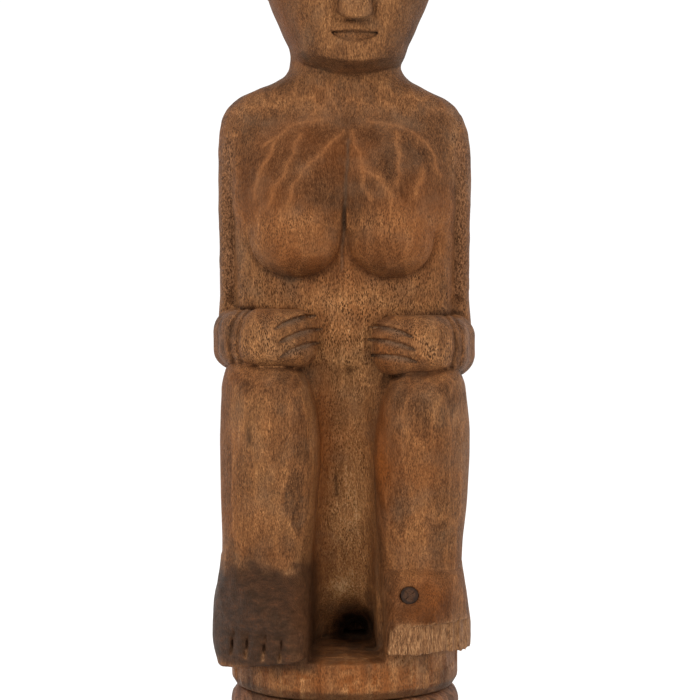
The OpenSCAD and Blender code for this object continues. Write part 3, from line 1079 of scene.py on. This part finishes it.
def oiled_hardwood(name, stops, red, pore_strength, surface_marks_and_painted_shade):
    """Tropical hardwood, gouge-cut, stained and rubbed: satin ridges, open dark pores and dull hollows."""
    made, tree, coords = blank(name)

    def carried(which):
        return put(tree, "ShaderNodeAttribute", attribute_name=which).outputs["Fac"]

    clouds = noise(tree, coords, 34.0, 5.0, 0.6)
    patches = grain(tree, coords, 8.0, 12.0, 4.0, 0.65)
    bands = grain(tree, coords, 2.6, 60.0, 2.0)
    streaks = grain(tree, coords, 0.9, 12.0, 3.0, 0.65)
    fibres = grain(tree, coords, 0.45, 2.2, 2.0, 0.8)
    shade = 0.465
    for pattern, strength in ((clouds, 0.14), (patches, 0.20), (bands, 0.22), (streaks, 0.50), (fibres, 1.0)):
        shade = add(tree, shade, add(tree, -0.5, pattern), strength)
    # Tone with its patina and painted shade, lighter ridges and proud edges where the wood is worn, and
    # darker hollows and creases that are dirt and painted shade.
    wear_dirt_and_painted_shade = (("tone", 1.0), ("ridge", 0.15), ("proud", 0.14), ("hollow", -0.20), ("crease", -0.16))
    for which, strength in wear_dirt_and_painted_shade:
        shade = add(tree, shade, carried(which), strength)
    wood = ramp(tree, shade, stops)
    wood = over(tree, times(tree, carried("ridge"), 0.22), wood, colour("#a4663a"))
    dust = spread(tree, noise(tree, coords, 55.0, 4.0, 0.6), 0.48, 0.72, 0.0, 0.38)
    wood = over(tree, dust, wood, colour("#66503d"))
    warm = spread(tree, noise(tree, coords, 17.0, 3.0), 0.47, 0.70, 0.0, 0.36)
    wood = over(tree, add(tree, warm, carried("ruddy"), 0.6), wood, colour(red))
    # Stains and cut wood on the figure, and dark spots that are partly painted shade.
    if surface_marks_and_painted_shade:
        mottle = grain(tree, coords, 7.0, 3.0, 5.0, 0.7)
        stained = ramp(tree, mottle, [
            (0.28, "#1d120b"), (0.48, "#311f15"), (0.62, "#41291b"), (0.8, "#5f3520")])
        torn_streaks = grain(tree, coords, 0.7, 8.0, 3.0, 0.7)
        torn_wood = ramp(tree, torn_streaks, [(0.3, "#452b1b"), (0.5, "#7c5537"), (0.75, "#a98058")])
        rough_streaks = grain(tree, coords, 1.0, 2.6, 3.0, 0.8)
        rough_wood = ramp(tree, rough_streaks, [(0.36, "#22140b"), (0.5, "#6f4a31"), (0.75, "#a3744f")])
        # Stained foot, torn and rough-cut wood, grey lines in the cuts, and dark spots, some of them painted
        # shade.
        for which, strength, finish in (
            ("stain", 1.0, stained), ("fresh", 1.0, torn_wood), ("rough_cut", 0.75, rough_wood),
            ("grey", 0.7, colour("#65503f")), ("dark_spots_and_painted_shade", 0.75, colour("#20140d")),
        ):
            wood = over(tree, times(tree, carried(which), strength), wood, finish)
    open_pores = pores(tree, coords, 0.80, 3.0, 0.46)
    fine_pores = pores(tree, coords, 0.55, 1.8, 0.46)
    pore_depth = put(tree, "ShaderNodeMath", {0: open_pores, 1: fine_pores}, operation="MAXIMUM").outputs[0]
    pore_share = times(tree, pore_depth, spread(tree, patches, 0.38, 0.62, 0.45, 1.0))
    pore_share = times(tree, pore_share, spread(
        tree, carried("open_grain"), 0.0, 1.0, 0.35 * pore_strength, 1.35 * pore_strength))
    wood = over(tree, pore_share, wood, colour("#2b1406"))
    height = add(tree, add(tree, fibres, streaks, 0.8), pore_depth, -1.1)
    gloss = spread(tree, shade, 0.2, 0.8, 0.72, 0.5)
    return finished(made, tree, wood, gloss, height, 0.55, 0.35, {
        "IOR": 1.45, "Specular IOR Level": 0.22, "Specular Tint": colour("#ffd9b0")})


wood_tones = [
    (0.00, "#120905"), (0.16, "#321d0f"), (0.30, "#4d301c"), (0.45, "#674227"),
    (0.58, "#79502f"), (0.70, "#8c603b"), (0.84, "#a77549"), (1.00, "#c59869"),
]
figure_wood = oiled_hardwood("oiled_hardwood_of_the_figure", wood_tones, "#7c4219", 0.8, True)


def piece(name, surface, material, node):
    surface.materials.clear()
    surface.materials.append(material)
    surface.shade_smooth()
    made = bpy.data.objects.new(name, surface)
    bpy.context.scene.collection.objects.link(made)
    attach(made, "root")
    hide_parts(node)
    return made


points = coordinates(figure_mesh) * MM
figure_mesh.vertices.foreach_set("co", points.ravel())
piece("figure", figure_mesh, figure_wood, "carved_figure")

# ---------------------------------------------------------------- the instep plug
# A dark knot on the left instep, cut round and set in its hole, its end pared down level with the
# foot. It is end grain, so it shows rings, and dry cracks that run out from the heart.

KNOT_BACK = -4.3
KNOT_SIDES = 120


def turning(rows, sides, change=None):
    """Points and faces turned about Z through rows of radius and height, closed at both ends."""
    angle = 2 * np.pi * np.arange(sides) / sides
    radius, height = (np.array(v, float)[:, None] + 0 * angle for v in zip(*rows))
    if change:
        radius, height = change(angle, radius, height)
    points = np.stack([radius * np.cos(angle), radius * np.sin(angle), height], axis=2).reshape(-1, 3)
    foot, head_end = points[:sides].mean(0), points[-sides:].mean(0)
    points = np.vstack([points, foot, head_end])
    last = (len(rows) - 1) * sides
    faces = []
    for j in range(sides):
        k = (j + 1) % sides
        for i in range(0, last, sides):
            faces.append((i + j, i + k, i + sides + k, i + sides + j))
        faces.append((len(points) - 2, k, j))
        faces.append((len(points) - 1, last + j, last + k))
    return points, faces


def solid(name, bodies):
    """One mesh from several bodies of points in millimetres and faces."""
    points, faces = [], []
    for body_points, body_faces in bodies:
        faces += [tuple(i + sum(map(len, points)) for i in face) for face in body_faces]
        points.append(body_points)
    made = bpy.data.meshes.new(name)
    made.from_pydata((np.vstack(points) * MM).tolist(), [], faces)
    made.update()
    return made


def knot_face(angle, radius, height):
    share = radius / PLUG_RADIUS
    on_face = smooth(0.0, 0.2, height - plug_face + 0.25)
    wobble = 1 + 0.015 * np.sin(3 * angle + 1) + 0.01 * np.sin(7 * angle)
    cracks = sum(
        bump(np.angle(np.exp(1j * (angle - at))), 0.10 * share, 0.05 + 0.05 * share) * bump(share, long, 0.35)
        for at, long in ((0.6, 0.55), (2.3, 0.7), (3.9, 0.5), (5.2, 0.75))
    )
    rings = 0.07 * np.sin(19 * share + 0.6 * np.sin(2 * angle))
    return radius * wobble, height + on_face * (rings - 0.55 * cracks)


knot_rows = [(PLUG_RADIUS - 0.4, KNOT_BACK), (PLUG_RADIUS, KNOT_BACK + 0.4)]
knot_rows += [(PLUG_RADIUS, h) for h in np.linspace(KNOT_BACK + 1, plug_face - 0.4, 8)]
knot_rows += [(PLUG_RADIUS - 0.1, plug_face - 0.12), (PLUG_RADIUS - 0.3, plug_face)]
for r in np.linspace(PLUG_RADIUS - 0.5, 0.15, 26):
    knot_rows.append((r, plug_face + 0.004 * (PLUG_RADIUS - r) ** 2))
knot_points, knot_faces = turning(knot_rows, KNOT_SIDES, knot_face)
side_way = np.array([1.0, 0, 0])
knot_points = (
    plug_middle
    + knot_points[:, :1] * side_way
    + knot_points[:, 1:2] * np.cross(plug_way, side_way)
    + knot_points[:, 2:] * plug_way
)
knot_mesh = solid("dark_knot", [(knot_points, knot_faces)])


def knot_wood():
    """End grain of a knot: nearly black rings and rays, dull, so that it reads as a hole filled up."""
    made, tree, coords = blank("dark_knot_end_grain")
    local = put(tree, "ShaderNodeVectorMath", {
        0: coords, 1: (plug_middle * MM).tolist()}, operation="SUBTRACT").outputs[0]
    away = put(tree, "ShaderNodeVectorMath", {0: local}, operation="LENGTH").outputs["Value"]
    ring_place = add(tree, times(tree, away, 900.0), noise(tree, local, 420.0, 3.0), 2.4)
    rings = put(tree, "ShaderNodeMath", {0: ring_place, 1: 1.0}, operation="PINGPONG").outputs[0]
    shade = add(tree, times(tree, rings, 0.35), noise(tree, local, 2600.0, 2.0), 0.6)
    wood = ramp(tree, shade, [(0.2, "#180e07"), (0.45, "#2c1a0d"), (0.62, "#3c2412"), (0.85, "#52321b")])
    gloss = spread(tree, shade, 0.0, 1.0, 0.85, 0.6)
    return finished(made, tree, wood, gloss, shade, 0.5, 0.2, {"IOR": 1.45, "Specular IOR Level": 0.22})


piece("instep_knot", knot_mesh, knot_wood(), "instep_plug")

# ---------------------------------------------------------------- the pedestal
# Two rounds of a darker, closer hardwood: a half-round ring under the drum and a flared plinth.
# Both were roughed out on the round with a gouge and finished with a knife held aslant.

pedestal_tones = [
    (0.00, "#0e0704"), (0.19, "#2a170d"), (0.34, "#432818"), (0.47, "#563524"),
    (0.60, "#6b4630"), (0.76, "#84593d"), (0.96, "#a77b57"),
]
pedestal_wood = oiled_hardwood("dark_turned_hardwood", pedestal_tones, "#5e2c14", 0.5, False)
ring_low, ring_high = corners("pedestal_ring")
felt_high = corners("felt_disc")[1]
felt_top = felt_high[2]
RING_RADIUS = ring_high[0]
BEAD_RADIUS = (ring_high[2] - ring_low[2]) / 2
PEG_PLAY = 0.25
SCREW_PLAY = -1.6
PEDESTAL_GRID = 0.9


def bore(block, node, play, low, high):
    for mx, my, radius, top in holes_of(node):
        reach = radius + play + 3
        block.cut((mx - reach, my - reach, low), (mx + reach, my + reach, high),
                  round_hole(mx, my, radius + play, high), 0.2)


def slanting_marks(points):
    """Knife cuts that run aslant round the wood, in turn with the gouge's scoops."""
    x, y, z = points.T
    around = np.arctan2(y, x) * np.hypot(x, y)
    outer = smooth(57, 60, np.hypot(x, y)) * smooth(0.4, 1.4, z - felt_top)
    for edge in (ring_low[2], ring_high[2]):
        outer = outer * smooth(0.3, 1.2, np.abs(z - edge))
    unrolled = np.stack([around, np.zeros_like(z), z + 0.5 * around], axis=1)
    first, second, tone = scoops(unrolled, (9, 9, 13), 3)
    slant = 0.10 * np.sin((z * 1.2 + around) * 1.7) * smooth(-20, 10, x)
    ridge = smooth(0.14, 0.0, second - first)
    return outer * (0.55 * (0.45 - first**2) + slant), ridge, tone


def pedestal_piece(name, block, marks, most_triangles, node):
    surface = worked(block, name + "_wood", marks, most_triangles)
    points, ways = coordinates(surface), normals(surface)
    closed, proud, crease = hollows(block, points, ways)
    ridge, cut_tone = marks(points)[1:]
    joint = sum(smooth(1.6, 0.2, np.abs(points[:, 2] - edge)) for edge in (ring_high[2], ring_low[2]))
    # The hollows come out darker, as dirt and painted shade, and so do the joints, as dark joints.
    carry(surface, "hollow", np.clip(closed + joint, 0, 1.5))
    carry(surface, "proud", proud)
    carry(surface, "ridge", ridge)
    carry(surface, "crease", crease)
    carry(surface, "ruddy", np.zeros(len(points)))
    carry(surface, "open_grain", np.full(len(points), 0.3))
    carry(surface, "tone", 0.2 * (cut_tone - 0.5) - 0.15 * joint)
    surface.vertices.foreach_set("co", (points * MM).ravel())
    piece(name, surface, pedestal_wood, node)


def bead(x, y, z):
    middle = (ring_low[2] + ring_high[2]) / 2
    around = np.arctan2(y, x)
    waver = 0.3 * np.sin(3 * around) + 0.2 * np.sin(7 * around + 1) - 0.4
    out = np.hypot(x, y) - (RING_RADIUS - BEAD_RADIUS) - waver
    return np.hypot(np.maximum(out, 0), z - middle) - BEAD_RADIUS


ring_block = Block(ring_low - 4, ring_high + 4, PEDESTAL_GRID)
ring_block.join(ring_low - 4, ring_high + 4, bead, 0.0)
for node, play in (("centre_dowel", PEG_PLAY), ("locating_pegs", PEG_PLAY), ("base_screws", SCREW_PLAY)):
    bore(ring_block, node, play, ring_low[2] - 4, ring_high[2] + 4)
pedestal_piece("pedestal_bead", ring_block, slanting_marks, 60_000, "pedestal_ring")

plinth_low, plinth_high = corners("pedestal_plinth")
PLINTH_NECK = 64.0
PLINTH_HOLLOW = 25.0
PLINTH_HALF = (plinth_high[2] - plinth_low[2]) / 2
SCREW_SEAT = felt_top + 0.6


def flared(x, y, z):
    around = np.arctan2(y, x)
    out = np.hypot(x, y) + 0.25 * np.sin(4 * around + 2) + 0.3
    scotia = PLINTH_HOLLOW - np.hypot(out - PLINTH_NECK - PLINTH_HOLLOW, z - plinth_high[2])
    foot = soft_max(out - plinth_high[0], scotia, 1.0)
    ends = np.abs(z - plinth_low[2] - PLINTH_HALF) - PLINTH_HALF
    return soft_max(foot, ends, 0.6)


def countersink(mx, my, head, top):
    """A flat-bottomed well for the screw's head, and the cone under it."""

    def shape(x, y, z):
        away = np.hypot(x - mx, y - my)
        cone = away - head - 0.3 + np.maximum(z - SCREW_SEAT, 0) * 0.7
        return np.maximum(cone, z - top)

    return shape


plinth_block = Block(plinth_low - 4, plinth_high + 4, 1.1)
plinth_block.join(plinth_low - 4, plinth_high + 4, flared, 0.0)
bore(plinth_block, "base_screws", SCREW_PLAY, plinth_low[2] - 4, plinth_high[2] + 4)
for node in ("centre_dowel", "locating_pegs"):
    for mx, my, radius, top in holes_of(node):
        low = corners(node)[0][2] - 0.5
        reach = radius + 4
        plinth_block.cut((mx - reach, my - reach, low), (mx + reach, my + reach, plinth_high[2] + 4),
                         round_hole(mx, my, radius + PEG_PLAY, plinth_high[2] + 4), 0.2)
for mx, my, radius, top in holes_of("base_screws"):
    plinth_block.cut((mx - 8, my - 8, plinth_low[2] - 4), (mx + 8, my + 8, SCREW_SEAT + 5),
                     countersink(mx, my, radius, SCREW_SEAT + 4), 0.2)
pedestal_piece("pedestal_foot", plinth_block, slanting_marks, 90_000, "pedestal_plinth")

# ---------------------------------------------------------------- dowel and pegs
# A fluted beech dowel holds drum, ring and plinth in line, and two thinner pegs keep them from
# turning. The flutes let the glue out, and the ends are bevelled so that they start in their holes.

FLUTE_DEPTH = 0.3


def fluted(flutes):
    def change(angle, radius, height):
        cut = np.clip(np.cos(flutes * angle), 0, 1) ** 2
        return radius - FLUTE_DEPTH * cut * (radius > 0.8 * radius.max()), height
    return change


def dowel_body(mx, my, radius, bottom, top, flutes):
    lower_end = [(radius * 0.25, 0), (radius * 0.5, 0), (radius - 1.2, 0), (radius - 0.9, 0.2), (radius, 1.5)]
    rows = [(r, bottom + h) for r, h in lower_end]
    rows += [(radius, h) for h in np.linspace(bottom + 3, top - 3, 16)]
    rows += [(r, top - h) for r, h in reversed(lower_end)]
    points, faces = turning(rows, flutes * 8, fluted(flutes))
    return points + np.array([mx, my, 0]), faces


def beech():
    """Pale, close-grained beech: short darker flecks along the wood, dry and hardly shiny."""
    made, tree, coords = blank("pale_beech")
    lines = grain(tree, coords, 0.8, 25.0, 3.0, 0.6)
    wood = ramp(tree, lines, [(0.3, "#a97f54"), (0.5, "#c39a6b"), (0.75, "#d6b283")])
    flecks = times(tree, pores(tree, coords, 0.5, 2.4, 0.4), 0.5)
    wood = over(tree, flecks, wood, colour("#8a5f3a"))
    gloss = spread(tree, lines, 0.0, 1.0, 0.8, 0.6)
    return finished(made, tree, wood, gloss, lines, 0.3, 0.2, {"IOR": 1.45})


beech_wood = beech()
dowel_low, dowel_high = corners("centre_dowel")
dowel_mesh = solid("fluted_dowel", [dowel_body(0, 0, dowel_high[0], dowel_low[2], dowel_high[2], 24)])
piece("fluted_dowel", dowel_mesh, beech_wood, "centre_dowel")
peg_low, peg_high = corners("locating_pegs")
peg_bodies = [
    dowel_body(mx, my, radius, peg_low[2], peg_high[2], 14)
    for mx, my, radius, top in holes_of("locating_pegs")
]
piece("fluted_pegs", solid("fluted_pegs", peg_bodies), beech_wood, "locating_pegs")

# ---------------------------------------------------------------- the base screws
# Three slotted wood screws, sunk under the felt: a countersunk head, a plain shank and a thread
# that is rolled round the core and runs out at the point.

screw_low, screw_high = corners("base_screws")
SCREW_HEAD = holes_of("base_screws")[0][2]
SCREW_CORE = SCREW_HEAD - 2.2
SCREW_PITCH = 1.8


def wood_screw(x, y, z):
    away, around = np.hypot(x, y), np.arctan2(y, x)
    up = z - screw_low[2]
    head = away - (SCREW_HEAD - 0.62 * np.maximum(up - 0.5, 0))
    head = np.maximum(head, up - 4.6)
    core = away - SCREW_CORE + 0.35 * smooth(13, 15, up)
    turn = (z / SCREW_PITCH - around / (2 * np.pi)) % 1.0
    thread = 0.62 * np.clip(1 - np.abs(turn - 0.5) * 3.2, 0, 1) * smooth(14, 17, up)
    point = (z - screw_high[2]) * 0.45 + away
    shank = np.maximum(core - thread, point)
    body = np.minimum(head, shank)
    slot = np.maximum(np.abs(y) - 0.5, up - 1.1)
    return np.maximum(np.maximum(body, -slot), -up + 0.02)


screw_block = Block((-6, -6, screw_low[2] - 1), (6, 6, screw_high[2] + 1), 0.24)
screw_block.join((-6, -6, screw_low[2] - 1), (6, 6, screw_high[2] + 1), wood_screw, 0.0)
one_screw = thinned(screw_block.mesh("one_screw"), 24_000)
screw_points = coordinates(one_screw)
screw_faces = [tuple(face.vertices) for face in one_screw.polygons]
screw_bodies = [
    (screw_points + np.array([mx, my, 0]), screw_faces)
    for mx, my, radius, top in holes_of("base_screws")
]


def dull_steel():
    """Zinc-plated steel gone dull: brushed along the turning, with duller and browner patches."""
    made, tree, coords = blank("dull_zinc_plated_steel")
    spots = noise(tree, coords, 700.0, 4.0)
    brushed = noise(tree, coords, 5200.0, 2.0)
    metal = ramp(tree, spots, [(0.3, "#4c4440"), (0.5, "#77736e"), (0.7, "#94918b")])
    gloss = spread(tree, add(tree, spots, brushed, 0.5), 0.0, 1.0, 0.62, 0.30)
    return finished(made, tree, metal, gloss, brushed, 0.2, 0.05, {"Metallic": 1.0})


screw_mesh = solid("countersunk_screws", screw_bodies)
piece("countersunk_screws", screw_mesh, dull_steel(), "base_screws")

# ---------------------------------------------------------------- the felt
# A disc of wool felt, cut by hand with shears and glued over the screw heads. Loose fibres stand
# out of the cut edge.

FIBRE_LENGTH = 1.2 * MM
FIBRE_RADIUS = 0.05 * MM
FIBRE_CLEAR = 0.02
FIBRES_PER_SQUARE_METRE = 6.0e6


def felt_body():
    radius, top = felt_high[0] - 1.2, felt_top - 0.03

    def cut_edge(angle, radii, height):
        wander = 0.35 * np.sin(5 * angle) + 0.25 * np.sin(13 * angle + 1) + 0.15 * np.sin(41 * angle)
        return radii + wander * (radii > radius - 3), height

    rows = [(radius * s, 0.03) for s in (0.2, 0.45, 0.7, 0.9)] + [(radius - 0.25, 0.05), (radius, 0.3)]
    rows += [(radius + 0.05, h) for h in np.linspace(0.5, top - 0.4, 4)]
    rows += [(radius, top - 0.2), (radius - 0.25, top)] + [(radius * s, top) for s in (0.9, 0.7, 0.45, 0.2)]
    return turning(rows, 360, cut_edge)


def wool():
    """Dark wool felt: matted fibres in olive and brown, quite matt, with a faint nap."""
    made, tree, coords = blank("dark_wool_felt")
    matted = put(tree, "ShaderNodeTexNoise", {
        "Vector": coords, "Scale": 900.0, "Detail": 5.0, "Distortion": 2.0}).outputs["Fac"]
    shade = add(tree, matted, add(tree, -0.5, noise(tree, coords, 40.0, 3.0)), 0.4)
    dyed = ramp(tree, shade, [(0.3, "#1c1a12"), (0.5, "#38352a"), (0.7, "#565140")])
    gloss = spread(tree, shade, 0.0, 1.0, 1.0, 0.85)
    return finished(made, tree, dyed, gloss, matted, 0.7, 0.3, {
        "IOR": 1.45, "Sheen Weight": 0.3, "Sheen Roughness": 0.5})


def fibre_tree(material):
    """Loose fibres: thin tapering spikes on the upright faces only, each tipped over at random."""
    tree = bpy.data.node_groups.new("loose_fibres", "GeometryNodeTree")
    for name, kind, way in (
        ("Body", "NodeSocketGeometry", "INPUT"), ("Fibre length", "NodeSocketFloat", "INPUT"),
        ("Fibre radius", "NodeSocketFloat", "INPUT"), ("Fibres per square metre", "NodeSocketFloat", "INPUT"),
        ("Felt", "NodeSocketGeometry", "OUTPUT"),
    ):
        tree.interface.new_socket(name, in_out=way, socket_type=kind)
    given = put(tree, "NodeGroupInput").outputs
    way = put(tree, "GeometryNodeInputNormal").outputs[0]
    up = put(tree, "ShaderNodeSeparateXYZ", {0: way}).outputs["Z"]
    flat = put(tree, "ShaderNodeMath", {0: up}, operation="ABSOLUTE").outputs[0]
    upright = put(tree, "FunctionNodeCompare", {
        0: flat, 1: 0.5}, data_type="FLOAT", operation="LESS_THAN").outputs[0]
    places = put(tree, "GeometryNodeDistributePointsOnFaces", {
        "Mesh": given["Body"], "Selection": upright, "Density": given["Fibres per square metre"], "Seed": 11})
    spike = put(tree, "GeometryNodeMeshCone", {
        "Vertices": 3, "Side Segments": 1, "Radius Bottom": given["Fibre radius"], "Radius Top": 0.0,
        "Depth": given["Fibre length"]})
    tip = put(tree, "FunctionNodeRandomValue", {
        0: (-1.1, -1.1, 0.0), 1: (1.1, 1.1, 6.2), "Seed": 12}, data_type="FLOAT_VECTOR")
    lean = put(tree, "FunctionNodeRotateRotation", {
        "Rotation": places.outputs["Rotation"], "Rotate By": tip.outputs[0]}, rotation_space="LOCAL")
    size = put(tree, "FunctionNodeRandomValue", {2: 0.35, 3: 1.0, "Seed": 13}, data_type="FLOAT")
    fibres = put(tree, "GeometryNodeInstanceOnPoints", {
        "Points": places.outputs["Points"], "Instance": spike.outputs["Mesh"],
        "Rotation": lean.outputs[0], "Scale": size.outputs[1]})
    together = put(tree, "GeometryNodeJoinGeometry", {0: fibres.outputs[0]})
    tree.links.new(given["Body"], together.inputs[0])
    real = put(tree, "GeometryNodeRealizeInstances", {0: together.outputs[0]})
    dyed = put(tree, "GeometryNodeSetMaterial", {"Geometry": real.outputs[0], "Material": material})
    put(tree, "NodeGroupOutput", {"Felt": dyed.outputs[0]})
    return tree


wool_felt = wool()
felt_holder = bpy.data.objects.new("felt_body", solid("felt_body", [felt_body()]))
bpy.context.scene.collection.objects.link(felt_holder)
fibres = felt_holder.modifiers.new("fibres", "NODES")
fibres.node_group = fibre_tree(wool_felt)
inputs = {item.name: item.identifier for item in fibres.node_group.interface.items_tree}
fibres[inputs["Fibre length"]] = FIBRE_LENGTH
fibres[inputs["Fibre radius"]] = FIBRE_RADIUS
fibres[inputs["Fibres per square metre"]] = FIBRES_PER_SQUARE_METRE
felt_mesh = evaluated(felt_holder)
felt_holder.modifiers.remove(fibres)
bpy.data.objects.remove(felt_holder)
felt_points = coordinates(felt_mesh)  # No fibre reaches under the felt or up into the plinth.
felt_points[:, 2] = np.clip(felt_points[:, 2], FIBRE_CLEAR * MM, (felt_top - FIBRE_CLEAR) * MM)
felt_mesh.vertices.foreach_set("co", felt_points.ravel())
piece("felt_pad", felt_mesh, wool_felt, "felt_disc")

# ---------------------------------------------------------------- the studio
# A plain pale floor, a white room and two soft lights, with the camera level with the hands.

FLOOR_HALF = 14.0
floor_mesh = bpy.data.meshes.new("floor")
floor_mesh.from_pydata(
    [(i * FLOOR_HALF, j * FLOOR_HALF, 0) for i, j in ((-1, -1), (1, -1), (1, 1), (-1, 1))],
    [], [(0, 1, 2, 3)],
)
floor = bpy.data.objects.new("floor", floor_mesh)
bpy.context.scene.collection.objects.link(floor)
floor_paint, tree, _ = blank("matt_white_floor")
shader = put(tree, "ShaderNodeBsdfPrincipled", {"Base Color": colour("#fdfdfc"), "Roughness": 0.9})
put(tree, "ShaderNodeOutputMaterial", {"Surface": shader.outputs[0]})
floor_mesh.materials.append(floor_paint)

world = bpy.data.worlds.new("white_room")
world.use_nodes = True
sky = world.node_tree.nodes["Background"].inputs
sky["Color"].default_value = (1, 1, 1, 1)
sky["Strength"].default_value = 1.08
bpy.context.scene.world = world
bpy.context.scene.view_settings.view_transform = "Standard"


def soft_light(name, place, aim, size, power):
    lamp = bpy.data.lights.new(name, "AREA")
    lamp.shape = "RECTANGLE"
    lamp.size, lamp.size_y = size
    lamp.energy = power
    holder = bpy.data.objects.new(name, lamp)
    way = [a - p for a, p in zip(aim, place)]
    level = math.hypot(way[0], way[1])
    holder.location = place
    holder.rotation_euler = (math.pi / 2 + math.atan2(way[2], level), 0, math.atan2(-way[0], way[1]))
    bpy.context.scene.collection.objects.link(holder)


soft_light("window_left", (-1.1, -1.7, 1.5), (0, 0, 0.28), (1.2, 1.2), 22)
soft_light("window_right", (1.2, -1.6, 1.1), (0, 0, 0.28), (1.0, 1.2), 12)

camera_data = bpy.data.cameras.new("camera")
camera_data.lens = 90
camera_data.sensor_width = 36
camera = bpy.data.objects.new("camera", camera_data)
camera.location = (0.0033, -1.050, 0.260)
camera.rotation_euler = (math.pi / 2, 0, 0)
bpy.context.scene.collection.objects.link(camera)
bpy.context.scene.camera = camera
